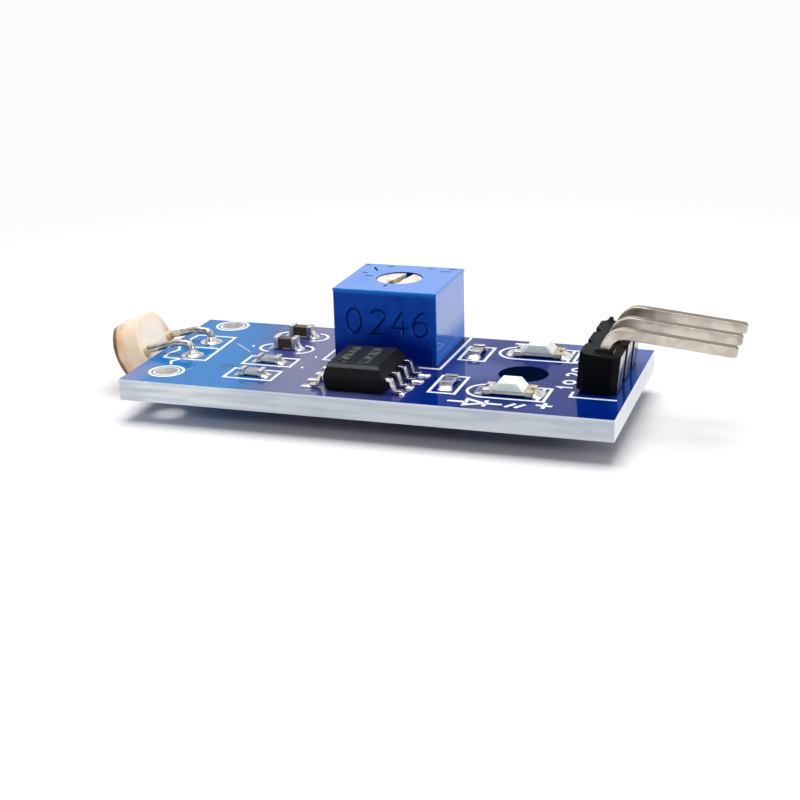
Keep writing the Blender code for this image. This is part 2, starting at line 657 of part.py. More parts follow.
def build_trimmer_wiper(axis, flange_bottom, track_top):
    """A spring ring on the rotor's boss, with an arm that bends down onto the track."""
    ring_top = flange_bottom - SEAT_GAP
    ring_bottom = ring_top - WIPER_THICKNESS
    inner, outer = WIPER_INNER_RADIUS, WIPER_OUTER_RADIUS
    ring = [(inner, ring_top), (outer, ring_top), (outer, ring_bottom), (inner, ring_bottom)]
    wiper = turned_part("trimmer_wiper", ring, SPRING, 32, parent=axis, closed=True)
    middle = ring_top - WIPER_THICKNESS / 2
    touch = track_top + SEAT_GAP + WIPER_THICKNESS / 2
    corners = [
        (outer - WIPER_THICKNESS, middle),
        (TRACK_RADIUS + TRACK_WIDTH / 2 - WIPER_THICKNESS, middle),
        (TRACK_RADIUS, touch),
        (TRACK_RADIUS - TRACK_WIDTH / 2, touch),
    ]
    outline = ribbon_outline(rounded_route(corners, WIPER_THICKNESS, 3), WIPER_THICKNESS)
    arm = add_cutter(
        "wiper_arm", plate_mesh("wiper_arm", outline, WIPER_ARM_WIDTH),
        turn=(math.pi / 2, 0, math.pi / 2), parent=axis,
    )
    combine(wiper, arm, "UNION")


def build_trimmer_base():
    """The ceramic base closes the case and carries the printed track. Returns the track's top."""
    fit = 2 * (TRIMMER_WALL + SEAT_GAP)
    bottom = TRIMMER_SEAT + TRIMMER_BASE_RECESS
    top = bottom + TRIMMER_BASE_THICKNESS
    base = add_part(
        "trimmer_base",
        box_mesh("trimmer_base", TRIMMER_LENGTH - fit, TRIMMER_WIDTH - fit, TRIMMER_BASE_THICKNESS),
        WHITE_CERAMIC, (TRIMMER_X, TRIMMER_Y, (bottom + top) / 2),
    )
    start = -math.pi / 2 + TRACK_OPENING / 2
    end = start + 2 * math.pi - TRACK_OPENING
    outer = arc(TRACK_RADIUS + TRACK_WIDTH / 2, start, end, 28)
    inner = arc(TRACK_RADIUS - TRACK_WIDTH / 2, end, start, 28)
    track = add_cutter(
        "trimmer_track", plate_mesh("trimmer_track", outer + inner, 2 * TRACK_HEIGHT),
        (TRIMMER_X, TRIMMER_Y, top),
    )
    combine(base, track, "UNION")
    for index, (x, y) in enumerate(trimmer_pins(), start=1):
        length = bottom - SEAT_GAP + TRIMMER_TAIL_LENGTH
        name = f"trimmer_pin_{index}"
        add_part(name, rod_mesh(name, TRIMMER_PIN_DIAMETER, length, 12), TIN,
                 (x, y, length / 2 - TRIMMER_TAIL_LENGTH))
    return top + TRACK_HEIGHT


def build_trimmer():
    axis = new_empty("trimmer_axis", Matrix.Translation((TRIMMER_X, TRIMMER_Y, 0)))
    build_trimmer_case()
    track_top = build_trimmer_base()
    flange_bottom = build_trimmer_rotor(axis)
    build_trimmer_wiper(axis, flange_bottom, track_top)


def build_comparator():
    parting = (CHIP_STANDOFF + CHIP_TOP_HEIGHT) / 2
    half_band = CHIP_LEAD_THICKNESS / 2
    low = 2 * CHIP_BOTTOM_DRAFT
    rings = [
        (CHIP_WIDTH - low, CHIP_LENGTH - low, CHIP_STANDOFF),
        (CHIP_WIDTH, CHIP_LENGTH, parting - half_band),
        (CHIP_WIDTH, CHIP_LENGTH, parting + half_band),
        (
            CHIP_WIDTH - CHIP_TOP_LEFT_DRAFT - CHIP_TOP_RIGHT_DRAFT,
            CHIP_LENGTH - 2 * CHIP_TOP_END_DRAFT,
            CHIP_TOP_HEIGHT,
            (CHIP_TOP_LEFT_DRAFT - CHIP_TOP_RIGHT_DRAFT) / 2,
        ),
    ]
    add_part("comparator_body", drafted_mesh("comparator_body", rings), BLACK_RESIN, (CHIP_X, CHIP_Y, TOP))
    root = CHIP_WIDTH / 2 + SEAT_GAP
    toe = CHIP_LEAD_SPAN / 2
    foot_height = LAND_HEIGHT + CHIP_LEAD_THICKNESS / 2
    heel = toe - CHIP_LEAD_FOOT
    knee = heel - CHIP_LEAD_THICKNESS
    corners = [(root, parting), (knee, parting), (heel, foot_height), (toe, foot_height)]
    outline = ribbon_outline(rounded_route(corners, CHIP_LEAD_BEND, 3), CHIP_LEAD_THICKNESS)
    first = -CHIP_LEAD_PITCH * (CHIP_LEADS_A_SIDE - 1) / 2
    for row, side in enumerate((-1, 1)):
        for index in range(CHIP_LEADS_A_SIDE):
            name = f"comparator_lead_{row * CHIP_LEADS_A_SIDE + index + 1}"
            place = (CHIP_X, CHIP_Y + first + CHIP_LEAD_PITCH * index, TOP)
            turn = (math.pi / 2, 0, math.pi if side < 0 else 0)
            add_part(name, plate_mesh(name, outline, CHIP_LEAD_WIDTH), TIN, place, turn)


def build_chip_part(name, height, look, x, y, angle):
    """A ceramic block with a metal cup over each end, lying on its lands."""
    frame = new_empty(f"{name}_frame", Matrix.Translation((x, y, LAND_TOP)) @ Matrix.Rotation(angle, 4, "Z"))
    skin = 2 * (END_CAP_THICKNESS + SEAT_GAP)
    core = box_mesh(name, CHIP_PART_LENGTH - skin, CHIP_PART_WIDTH - skin, height - skin)
    add_part(f"{name}_body", core, look, (0, 0, height / 2), parent=frame)
    wall = 2 * END_CAP_THICKNESS
    room = box_mesh("cap_hollow", CHIP_PART_LENGTH - wall, CHIP_PART_WIDTH - wall, height - wall)
    hollow = add_cutter(f"{name}_hollow", room, (0, 0, height / 2), parent=frame)
    for label, side in (("a", -1), ("b", 1)):
        cap_name = f"{name}_cap_{label}"
        offset = side * (CHIP_PART_LENGTH - END_CAP_LENGTH) / 2
        cap = add_part(
            cap_name, box_mesh(cap_name, END_CAP_LENGTH, CHIP_PART_WIDTH, height), TIN,
            (offset, 0, height / 2), parent=frame,
        )
        combine(cap, hollow, "DIFFERENCE")


def build_chip_parts():
    names = ("resistor_1", "resistor_2", "capacitor_1", "capacitor_2")
    for name, y in zip(names, LEFT_ROW_Y):
        capacitor = name.startswith("capacitor")
        height = CAPACITOR_HEIGHT if capacitor else RESISTOR_HEIGHT
        build_chip_part(name, height, BROWN_CERAMIC if capacitor else DARK_GLAZE, LEFT_ROW_X, y, 0)
    for name, y in (
        ("resistor_3", FAR_EDGE - SERIES_FAR_INSET), ("resistor_4", NEAR_EDGE + SERIES_NEAR_INSET)
    ):
        build_chip_part(name, RESISTOR_HEIGHT, DARK_GLAZE, SERIES_X, y, math.pi / 2)


def build_light(name, y):
    """A chip lamp: a plate with a metal terminal round each end, and a milky lens on top."""
    frame = new_empty(f"{name}_frame", Matrix.Translation((LIGHT_X, y, LAND_TOP)))
    wall = 2 * LIGHT_TERMINAL_THICKNESS
    skin = wall + 2 * SEAT_GAP
    base = add_part(
        f"{name}_base", box_mesh(f"{name}_base", LIGHT_LENGTH - skin, LIGHT_WIDTH, LIGHT_BASE_HEIGHT - skin),
        PALE_BASE, (0, 0, LIGHT_BASE_HEIGHT / 2), parent=frame,
    )
    room = box_mesh("light_hollow", LIGHT_LENGTH - wall, 2 * LIGHT_WIDTH, LIGHT_BASE_HEIGHT - wall)
    hollow = add_cutter(f"{name}_hollow", room, (0, 0, LIGHT_BASE_HEIGHT / 2), parent=frame)
    terminal_length = (LIGHT_LENGTH - LIGHT_LENS_LENGTH) / 2 - SEAT_GAP
    for label, side in (("left", -1), ("right", 1)):
        terminal = add_part(
            f"{name}_terminal_{label}",
            box_mesh(f"{name}_terminal", terminal_length, LIGHT_WIDTH, LIGHT_BASE_HEIGHT), SPRING,
            (side * (LIGHT_LENGTH - terminal_length) / 2, 0, LIGHT_BASE_HEIGHT / 2), parent=frame,
        )
        combine(terminal, hollow, "DIFFERENCE")
        notch = add_cutter(
            f"{name}_notch_{label}", rod_mesh("light_notch", LIGHT_NOTCH_DIAMETER, 4 * LIGHT_BASE_HEIGHT, 16),
            (side * LIGHT_LENGTH / 2, 0, LIGHT_BASE_HEIGHT / 2), parent=frame,
        )
        combine(terminal, notch, "DIFFERENCE")
        combine(base, notch, "DIFFERENCE")
    foot = LIGHT_BASE_HEIGHT - LIGHT_TERMINAL_THICKNESS
    rings = [
        (LIGHT_LENS_LENGTH, LIGHT_WIDTH, foot),
        (LIGHT_LENS_TOP, LIGHT_WIDTH - 2 * LIGHT_LENS_DRAFT, LIGHT_BASE_HEIGHT + LIGHT_LENS_HEIGHT),
    ]
    add_part(f"{name}_lens", drafted_mesh(f"{name}_lens", rings), MILKY_LENS, parent=frame)


def header_outline():
    """Octagonal blocks in a row along Y, joined where their chamfers meet."""
    half = HEADER_BODY_WIDTH / 2
    cut = HEADER_BODY_CHAMFER
    start = -HEADER_PITCH * HEADER_PINS / 2
    right = []
    for index in range(HEADER_PINS):
        low = start + HEADER_PITCH * index
        high = low + HEADER_PITCH
        right += [(half - cut, low), (half, low + cut), (half, high - cut)]
    right.append((half - cut, -start))
    return right + [(-x, y) for x, y in reversed(right)]


def build_header():
    frame = new_empty("header_frame", header_matrix())
    middle = (-HEADER_BODY_WIDTH / 2, 0, HEADER_BODY_HEIGHT / 2)
    roof = HEADER_BODY_HEIGHT
    body = add_part(
        "header_body", plate_mesh("header_body", header_outline(), HEADER_BODY_HEIGHT), BLACK_NYLON,
        middle, parent=frame,
    )
    burr_rings = [(*HEADER_BURR_ROOT, 0), (*HEADER_BURR_TIP, HEADER_BURR_HEIGHT)]
    far_end = HEADER_PITCH * HEADER_PINS / 2
    burr = add_cutter(
        "header_burr", drafted_mesh("header_burr", burr_rings),
        (middle[0] + HEADER_BURR_X, far_end, roof - HEADER_BURR_SINK), HEADER_BURR_LEAN, frame,
    )
    combine(body, burr, "UNION")
    narrow = HEADER_COLLAR_WIDTH * HEADER_COLLAR_TAPER
    collar_rings = [
        (HEADER_COLLAR_WIDTH, HEADER_COLLAR_WIDTH, -HEADER_COLLAR_HEIGHT),
        (narrow, narrow, HEADER_COLLAR_HEIGHT),
    ]
    width = HEADER_PIN_WIDTH + 2 * SEAT_GAP
    x = -HEADER_PIN_INSET
    places = [HEADER_PITCH * (index - (HEADER_PINS - 1) / 2) for index in range(HEADER_PINS)]
    for index, y in enumerate(places, start=1):
        collar = add_cutter(
            f"pin_collar_{index}", drafted_mesh("pin_collar", collar_rings), (x, y, roof), parent=frame
        )
        combine(body, collar, "UNION")
        passage = add_cutter(
            f"pin_passage_{index}", box_mesh("pin_passage", width, width, 2 * HEADER_BODY_HEIGHT),
            (x, y, roof / 2), parent=frame,
        )
        combine(body, passage, "DIFFERENCE")
    crest = HEADER_PIN_TOP - HEADER_PIN_WIDTH / 2
    tip = HEADER_PIN_WIDTH / 2 * HEADER_TIP_SHARE - HEADER_PIN_INSET
    drop = TAIL_LENGTH + TOP + SEAT_GAP
    bottom = (tip * math.sin(HEADER_LEAN) - drop) / math.cos(HEADER_LEAN)
    dip = (HEADER_PIN_REACH - HEADER_PIN_BEND) * math.tan(HEADER_PIN_DIP)
    for index, y in enumerate(places, start=1):
        corners = [
            (x, y, bottom),
            (x, y, crest + HEADER_PIN_BEND * math.tan(HEADER_PIN_DIP)),
            (x + HEADER_PIN_REACH, y, crest - dip),
        ]
        name = f"header_pin_{index}"
        route = rounded_route(corners, HEADER_PIN_BEND, 10)
        bar = square_bar_mesh(name, route, HEADER_PIN_WIDTH, HEADER_TIP_LENGTH, HEADER_TIP_SHARE)
        add_part(name, bar, NICKEL, parent=frame)


def build_solder_joint(name, x, y, hole, pin_radius, square=False):
    """A hollow cone of solder under the board, drawn in from the land to the pin.

    A square pin leans, so its passage is cut along the header's own axis.
    """
    wide = hole / 2 + JOINT_COLLAR
    narrow = pin_radius + SEAT_GAP + JOINT_WALL
    inner = pin_radius + SEAT_GAP
    outer = []
    for step in range(JOINT_STEPS + 1):
        share = step / JOINT_STEPS
        radius = narrow + (wide - narrow) * (1 - share) ** 2
        outer.append((radius, -SEAT_GAP - JOINT_HEIGHT * share))
    if not square:
        profile = outer + [(inner, -SEAT_GAP - JOINT_HEIGHT), (inner, -SEAT_GAP)]
        turned_part(name, profile, SOLDER, 20, (x, y, 0), closed=True)
        return
    profile = [(0, -SEAT_GAP)] + outer + [(0, -SEAT_GAP - JOINT_HEIGHT)]
    joint = turned_part(name, profile, SOLDER, 20, (x, y, 0))
    width = HEADER_PIN_WIDTH + 2 * SEAT_GAP
    bar = box_mesh("joint_passage", width, width, 4 * JOINT_HEIGHT)
    passage = add_cutter(f"{name}_passage", bar, (x, y, -JOINT_HEIGHT / 2), (0, HEADER_LEAN, 0))
    combine(joint, passage, "DIFFERENCE")


def build_solder_joints():
    cell_hole = round_pin_hole(CELL_LEAD_DIAMETER)
    for name, (x, y) in zip(("near", "far"), cell_pads()):
        build_solder_joint(f"photocell_joint_{name}", x, y, cell_hole, CELL_LEAD_DIAMETER / 2)
    trimmer_hole = round_pin_hole(TRIMMER_PIN_DIAMETER)
    for index, (x, y) in enumerate(trimmer_pins(), start=1):
        build_solder_joint(f"trimmer_joint_{index}", x, y, trimmer_hole, TRIMMER_PIN_DIAMETER / 2)
    for index, (x, y) in enumerate(header_pins(-JOINT_HEIGHT / 2), start=1):
        name = f"header_joint_{index}"
        build_solder_joint(name, x, y, header_hole(), HEADER_PIN_WIDTH / math.sqrt(2), square=True)


build_board()
build_photocell()
build_trimmer()
build_comparator()
build_chip_parts()
build_light("light_near", NEAR_EDGE + LIGHT_NEAR_INSET)
build_light("light_far", FAR_EDGE - LIGHT_FAR_INSET)
build_header()
build_solder_joints()
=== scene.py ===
# %% [markdown]
# # A light sensor module, dressed piece by piece
# The packed CAD model is the fixed frame: every solid already has its true place and size. This
# lesson gives each solid its surface, and adds what is too thin or too fine for CAD: plated holes,
# solder, white print, moulded marks. Blender's unit here is the metre.

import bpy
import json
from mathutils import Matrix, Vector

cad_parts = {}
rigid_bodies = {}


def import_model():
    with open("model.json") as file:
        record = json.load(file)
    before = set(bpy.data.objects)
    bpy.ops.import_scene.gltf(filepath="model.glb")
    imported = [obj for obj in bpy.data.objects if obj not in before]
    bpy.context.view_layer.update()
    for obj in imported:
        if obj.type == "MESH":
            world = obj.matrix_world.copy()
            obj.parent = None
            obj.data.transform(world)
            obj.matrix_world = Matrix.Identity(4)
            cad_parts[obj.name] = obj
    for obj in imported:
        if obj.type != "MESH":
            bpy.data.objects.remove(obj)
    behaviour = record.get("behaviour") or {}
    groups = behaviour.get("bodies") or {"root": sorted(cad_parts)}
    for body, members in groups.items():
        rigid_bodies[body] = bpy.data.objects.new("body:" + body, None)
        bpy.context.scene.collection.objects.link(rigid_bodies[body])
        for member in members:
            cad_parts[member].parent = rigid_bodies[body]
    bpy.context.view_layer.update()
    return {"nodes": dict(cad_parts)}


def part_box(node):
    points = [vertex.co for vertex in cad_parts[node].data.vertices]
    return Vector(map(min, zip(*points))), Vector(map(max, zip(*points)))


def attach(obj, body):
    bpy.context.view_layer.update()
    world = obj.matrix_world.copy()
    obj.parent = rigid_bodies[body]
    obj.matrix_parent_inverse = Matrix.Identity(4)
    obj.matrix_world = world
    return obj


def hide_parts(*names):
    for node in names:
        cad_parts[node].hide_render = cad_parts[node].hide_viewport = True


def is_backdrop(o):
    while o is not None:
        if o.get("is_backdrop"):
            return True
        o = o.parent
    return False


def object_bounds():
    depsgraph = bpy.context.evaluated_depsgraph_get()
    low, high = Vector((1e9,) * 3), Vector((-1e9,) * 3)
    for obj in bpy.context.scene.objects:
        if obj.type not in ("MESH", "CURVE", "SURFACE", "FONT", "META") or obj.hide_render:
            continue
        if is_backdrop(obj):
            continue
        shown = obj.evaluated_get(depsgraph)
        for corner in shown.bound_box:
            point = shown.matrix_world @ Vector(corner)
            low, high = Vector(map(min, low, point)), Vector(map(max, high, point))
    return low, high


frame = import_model()

# %% [markdown]
# ## Working in millimetres
# The module is 42 mm long, and many of Blender's tools have limits meant for metres: merging
# doubles or filling a curve would swallow detail of 0.05 mm. So each new piece is modelled a
# thousand times larger, one Blender unit for one millimetre, and is brought back to metres at the
# end, with its place kept in its mesh.

# %% Helpers for selecting, editing and settling a piece
import json
import math

import bpy
from mathutils import Matrix, Vector

MM = 0.001


def added(name, data):
    """A new object for data, linked to the scene."""
    made = bpy.data.objects.new(name, data)
    bpy.context.scene.collection.objects.link(made)
    return made


def rounded(vector):
    """A vector's numbers, short enough to print."""
    return tuple(round(number, 2) for number in vector)


def none_selected():
    """Deselects everything, since an operator acts on all that is selected."""
    for other in bpy.context.view_layer.objects:
        other.select_set(False)


def alone(obj):
    """Makes obj the only selected object, and the active one."""
    none_selected()
    obj.select_set(True)
    bpy.context.view_layer.objects.active = obj
    return obj


def edited(obj, *steps):
    """Runs edit-mode operators on the whole of a mesh."""
    alone(obj)
    bpy.ops.object.mode_set(mode="EDIT")
    bpy.ops.mesh.select_all(action="SELECT")
    for step in steps:
        step()
    bpy.ops.object.mode_set(mode="OBJECT")
    return obj


def applied(obj, kind, **settings):
    """Adds a modifier and applies it."""
    alone(obj)
    modifier = obj.modifiers.new(kind.title(), kind)
    for name, value in settings.items():
        setattr(modifier, name, value)
    bpy.ops.object.modifier_apply(modifier=modifier.name)
    return obj


def smoothed(obj, angle=35):
    """Shades smooth all but the edges that are sharper than angle, in degrees."""
    alone(obj)
    bpy.ops.object.shade_smooth_by_angle(angle=math.radians(angle))
    return obj


def settled(obj, look, body="module", stands_for=()):
    """Brings a finished piece from millimetres to metres and ties it to its CAD body."""
    alone(obj)
    bpy.ops.object.transform_apply(location=True, rotation=True, scale=True)
    obj.data.transform(Matrix.Scale(MM, 4))
    obj.data.materials.clear()
    obj.data.materials.append(look)
    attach(obj, body)
    if stands_for:
        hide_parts(*stands_for)
    return obj


def joined(parts, name):
    """Joins finished meshes into one named piece."""
    alone(parts[0])
    for part in parts[1:]:
        part.select_set(True)
    bpy.ops.object.join()
    parts[0].name = name
    parts[0].data.name = name
    return parts[0]


def box_of(node):
    """A CAD node's two corners, in millimetres."""
    low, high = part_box(node)
    return low / MM, high / MM


board_low, board_high = box_of("circuit_board")
print("Board from", rounded(board_low), "to", rounded(board_high))

# %% [markdown]
# ## Shader maths as ordinary expressions
# A material is a graph of nodes. Writing it node by node hides the idea, so one small class wraps
# an output socket and gives it Python's operators: `1 - mask * 0.5` then adds its own Math nodes.
# Every other kind of node comes from the one method `node`.

# %% The shader class
class Wire:
    """An output socket that can be used in ordinary expressions."""

    def __init__(self, shader, socket):
        self.shader = shader
        self.socket = socket

    def maths(self, operation, *values):
        inputs = dict(enumerate(values))
        return self.shader.node("ShaderNodeMath", {"operation": operation}, inputs)

    def __add__(self, other):
        return self.maths("ADD", self, other)

    def __sub__(self, other):
        return self.maths("SUBTRACT", self, other)

    def __rsub__(self, other):
        return self.maths("SUBTRACT", other, self)

    def __mul__(self, other):
        return self.maths("MULTIPLY", self, other)

    def __pow__(self, other):
        return self.maths("POWER", self, other)

    def __abs__(self):
        return self.maths("ABSOLUTE", self)

    __radd__ = __add__
    __rmul__ = __mul__

    def larger(self, other):
        return self.maths("MAXIMUM", self, other)

    def root(self):
        return self.maths("SQRT", self)

    def wave(self):
        return self.maths("SINE", self)

    def step(self, start, end):
        """0 below start, 1 above end, smooth between, or the other way round if end is lower."""
        rising = end > start
        settings = {"interpolation_type": "SMOOTHSTEP"}
        inputs = {"Value": self, "From Min": min(start, end), "From Max": max(start, end)}
        inputs |= {"To Min": 0.0 if rising else 1.0, "To Max": 1.0 if rising else 0.0}
        return self.shader.node("ShaderNodeMapRange", settings, inputs)


class Shader:
    """A material under construction."""

    def __init__(self, name):
        self.material = bpy.data.materials.new(name)
        self.material.use_nodes = True
        self.tree = self.material.node_tree
        self.tree.nodes.clear()

    def node(self, kind, settings=None, inputs=None, output=0):
        """Adds a node: settings first, then the values or links of its sockets."""
        made = self.tree.nodes.new(kind)
        for name, value in (settings or {}).items():
            setattr(made, name, value)
        for name, value in (inputs or {}).items():
            if isinstance(value, Wire):
                self.tree.links.new(value.socket, made.inputs[name])
            elif isinstance(value, tuple) and len(value) == 3 and made.inputs[name].type == "RGBA":
                made.inputs[name].default_value = (*value, 1.0)
            else:
                made.inputs[name].default_value = value
        return Wire(self, made.outputs[output])

    def place(self, centre=(0, 0, 0), turn=(0, 0, 0)):
        """Object coordinates in millimetres, seen from a frame at centre, turned by turn."""
        spot = self.node("ShaderNodeTexCoord", output="Object")
        shrink = {"Location": tuple(c * MM for c in centre), "Rotation": turn, "Scale": (MM, MM, MM)}
        return self.node("ShaderNodeMapping", {"vector_type": "TEXTURE"}, {"Vector": spot} | shrink)

    def stretched(self, vector, scale):
        """Coordinates scaled by axis: a small number draws a pattern out along that axis."""
        return self.node("ShaderNodeMapping", inputs={"Vector": vector, "Scale": scale})

    def axes(self, vector):
        parts = self.node("ShaderNodeSeparateXYZ", inputs={"Vector": vector}, output="X")
        node = parts.socket.node
        return [Wire(self, node.outputs[axis]) for axis in ("X", "Y", "Z")]

    def noise(self, vector, scale, detail=3.0, roughness=0.55, distortion=0.0):
        inputs = {"Vector": vector, "Scale": scale, "Detail": detail}
        inputs |= {"Roughness": roughness, "Distortion": distortion}
        return self.node("ShaderNodeTexNoise", inputs=inputs)

    def apart(self, x, y, point):
        """The distance from an upright line at point, (x, y)."""
        return ((x - point[0]) ** 2 + (y - point[1]) ** 2).root()

    def facing(self):
        """The three parts of the direction that the face looks in."""
        return self.axes(self.node("ShaderNodeNewGeometry", output="True Normal"))

    def blend(self, factor, first, second):
        """A colour between two others."""
        settings = {"data_type": "RGBA", "clamp_factor": True}
        made = self.node("ShaderNodeMix", settings, {"Factor": factor}).socket.node
        for socket, value in ((made.inputs[6], first), (made.inputs[7], second)):
            if isinstance(value, Wire):
                self.tree.links.new(value.socket, socket)
            else:
                socket.default_value = (*value, 1.0)
        return Wire(self, made.outputs[2])

    def bump(self, height, depth, strength=1.0):
        """A normal from a height of 0 to 1 that stands for depth in millimetres."""
        return self.node(
            "ShaderNodeBump", inputs={"Height": height, "Distance": depth * MM, "Strength": strength}
        )

    def done(self, colour, roughness, **sockets):
        """Ends the graph in a Principled shader and returns the material."""
        inputs = {"Base Color": colour, "Roughness": roughness}
        inputs |= {name.replace("_", " "): value for name, value in sockets.items()}
        surface = self.node("ShaderNodeBsdfPrincipled", inputs=inputs)
        self.node_out(surface)
        return self.material

    def node_out(self, surface):
        end = self.tree.nodes.new("ShaderNodeOutputMaterial")
        self.tree.links.new(surface.socket, end.inputs["Surface"])


print("Besides operators, a wire knows:", [name for name in vars(Wire) if not name.startswith("_")])

# %% [markdown]
# ## Board material
# A circuit board is woven glass in epoxy, pale on its sawn edges, with a thin glossy coat of blue
# solder mask on both faces. One material tells the two apart by the direction the face looks in.
# The left end, its tip and the far right corner are painted paler, and a violet veil is painted over
# the middle: painted reflections of the white room in the glossy mask. A patch beside the bolt hole is
# lightened softly, and the gloss of its coat varies too. The sawn edges show the glass in faint layers,
# with a painted highlight along their top and painted light on the right-hand end; the bolt hole's
# wall is painted dark as painted shade. A dark smudge lies on the top near the left end.

# %% Board material
BOARD_TOP = board_high.z
BOLT_HOLE = (8.85, 0.1)
SMUDGE = (-10.24, -2.73)
PALE_PATCH = (6.2, 0.1)


def board_look():
    s = Shader("blue_board")
    spot = s.place()
    x, y, z = s.axes(spot)
    nx, _, nz = s.facing()
    broad = abs(nz).step(0.4, 0.6)
    cloud = s.noise(spot, 0.35, 2.0)
    drift = x + y * 0.25 + cloud * 1.6
    # Painted reflection: the left end and the far right corner are painted paler, for the white room
    # reflected in the mask.
    painted_reflection_left = drift.step(-6.0, -10.0)
    painted_reflection_right = (x + y * 0.5 + cloud * 2).step(13.5, 17.0)
    navy = s.blend(s.noise(spot, 1.1, 4.0).step(0.3, 0.7), (0.0, 0.011, 0.13), (0.0, 0.018, 0.2))
    mask = s.blend(painted_reflection_left, navy, (0.01, 0.16, 0.46))
    mask = s.blend(painted_reflection_right, mask, (0.0, 0.055, 0.33))
    # Painted reflection: a violet veil over the middle of the top stands for the white room reflected in
    # the mask.
    middle = drift.step(-9.5, -5.5) * x.step(7.0, 0.0)
    mask = s.blend(middle * x.step(5.0, -1.0) * 0.35, mask, (0.16, 0.16, 0.3))
    # Painted reflection: the left tip is painted violet as well.
    mask = s.blend(x.step(-14.0, -15.2) * y.step(-2.5, -5.0) * 0.65, mask, (0.2, 0.22, 0.4))
    smudge = s.apart(x, y, SMUDGE).step(0.7, 0.15) * s.noise(spot, 2.4, 4.0).step(0.4, 0.55)
    mask = s.blend(smudge * nz.step(0.4, 0.6) * 0.7, mask, (0.03, 0.035, 0.05))
    patch = s.apart(x, y, PALE_PATCH).step(2.8, 0.8)
    mask = s.blend(patch * 0.35, mask, (0.02, 0.07, 0.32))
    glaze = 0.46 + middle * 0.54 + patch * 0.2 + y.step(2.0, 5.5) * x.step(5.5, 9.0) * 0.35

    layers = s.noise(s.stretched(spot, (0.1, 0.1, 1.5)), 1.6, 3.0, 0.5)
    blotch = s.noise(s.stretched(spot, (0.5, 0.5, 1.3)), 1.5, 4.0)
    glass = s.blend(layers.step(0.38, 0.62), (0.6, 0.66, 0.74), (0.84, 0.88, 0.92))
    glass = s.blend(blotch.step(0.45, 0.68) * 0.45, glass, (0.88, 0.9, 0.92))
    glass = s.blend(x.step(-13.0, -3.0) * 0.5, glass, (0.46, 0.52, 0.6))
    # Painted highlight: a pale line along the top of the sawn edges.
    rim = z.step(BOARD_TOP - 0.16, BOARD_TOP - 0.05)
    glass = s.blend(rim * 0.6, glass, (0.8, 0.88, 0.97))
    # Painted light: the right-hand end face is painted whiter, as if a lamp lit it.
    glass = s.blend(nx.step(0.5, 0.8) * 0.6, glass, (0.95, 0.95, 0.96))
    # Painted shade: the bolt hole's wall is painted dark blue.
    painted_hole_shade = s.apart(x, y, BOLT_HOLE).step(1.8, 1.7)
    glass = s.blend(painted_hole_shade, glass, (0.001, 0.018, 0.07))
    relief = blotch * (1 - broad) + s.noise(spot, 0.8, 2.0) * broad * 0.05
    return s.done(
        s.blend(broad, glass, mask), 0.7, Coat_Weight=broad * glaze, Coat_Roughness=0.05, Coat_IOR=1.5,
        Specular_IOR_Level=0.0, Normal=s.bump(relief, 0.03, 0.5),
    )


board = frame["nodes"]["circuit_board"]
blue_board = board_look()
board.data.materials.clear()
board.data.materials.append(blue_board)
print("Board dressed, top at", round(BOARD_TOP, 3), "mm")

# %% [markdown]
# ## Metals
# Solder freezes in soft bright lumps. Tin on the chip's leads and on the end caps is a little greyer
# and finely scratched, and the photocell's wires are duller still. The header's pins are warmer and
# brushed along their length, and the lights' terminals carry thin gold. All are metallic, so their
# colour is the colour of what they reflect, and noise in the roughness and in a bump breaks the
# reflections up, which would otherwise look like chrome.

# %% Metal materials
def metal_look(name, bright, dull, roughness, spread, scale, depth):
    s = Shader(name)
    spot = s.place()
    patches = s.noise(spot, scale, 3.0)
    streaks = s.noise(spot, scale * 3, 4.0, 0.6)
    tone = s.blend(patches.step(0.35, 0.7), dull, bright)
    return s.done(
        tone, streaks * spread + roughness, Metallic=1.0, Normal=s.bump(streaks + patches, depth, 0.6)
    )


solder_look = metal_look("bright_solder", (0.92, 0.91, 0.89), (0.52, 0.5, 0.47), 0.14, 0.2, 2.2, 0.03)
tin_look = metal_look("tinned_lead", (0.86, 0.84, 0.79), (0.5, 0.47, 0.43), 0.12, 0.18, 2.0, 0.008)
gold_look = metal_look("thin_gold", (0.82, 0.68, 0.46), (0.5, 0.38, 0.22), 0.22, 0.2, 3.0, 0.004)
cap_look = metal_look("end_cap_tin", (0.85, 0.84, 0.82), (0.5, 0.49, 0.47), 0.2, 0.2, 3.0, 0.008)
wire_look = metal_look("bent_wire", (0.74, 0.7, 0.63), (0.4, 0.35, 0.29), 0.12, 0.2, 1.6, 0.004)
spring_look = metal_look("wiper_spring", (0.8, 0.68, 0.45), (0.6, 0.5, 0.32), 0.25, 0.2, 2.0, 0.004)


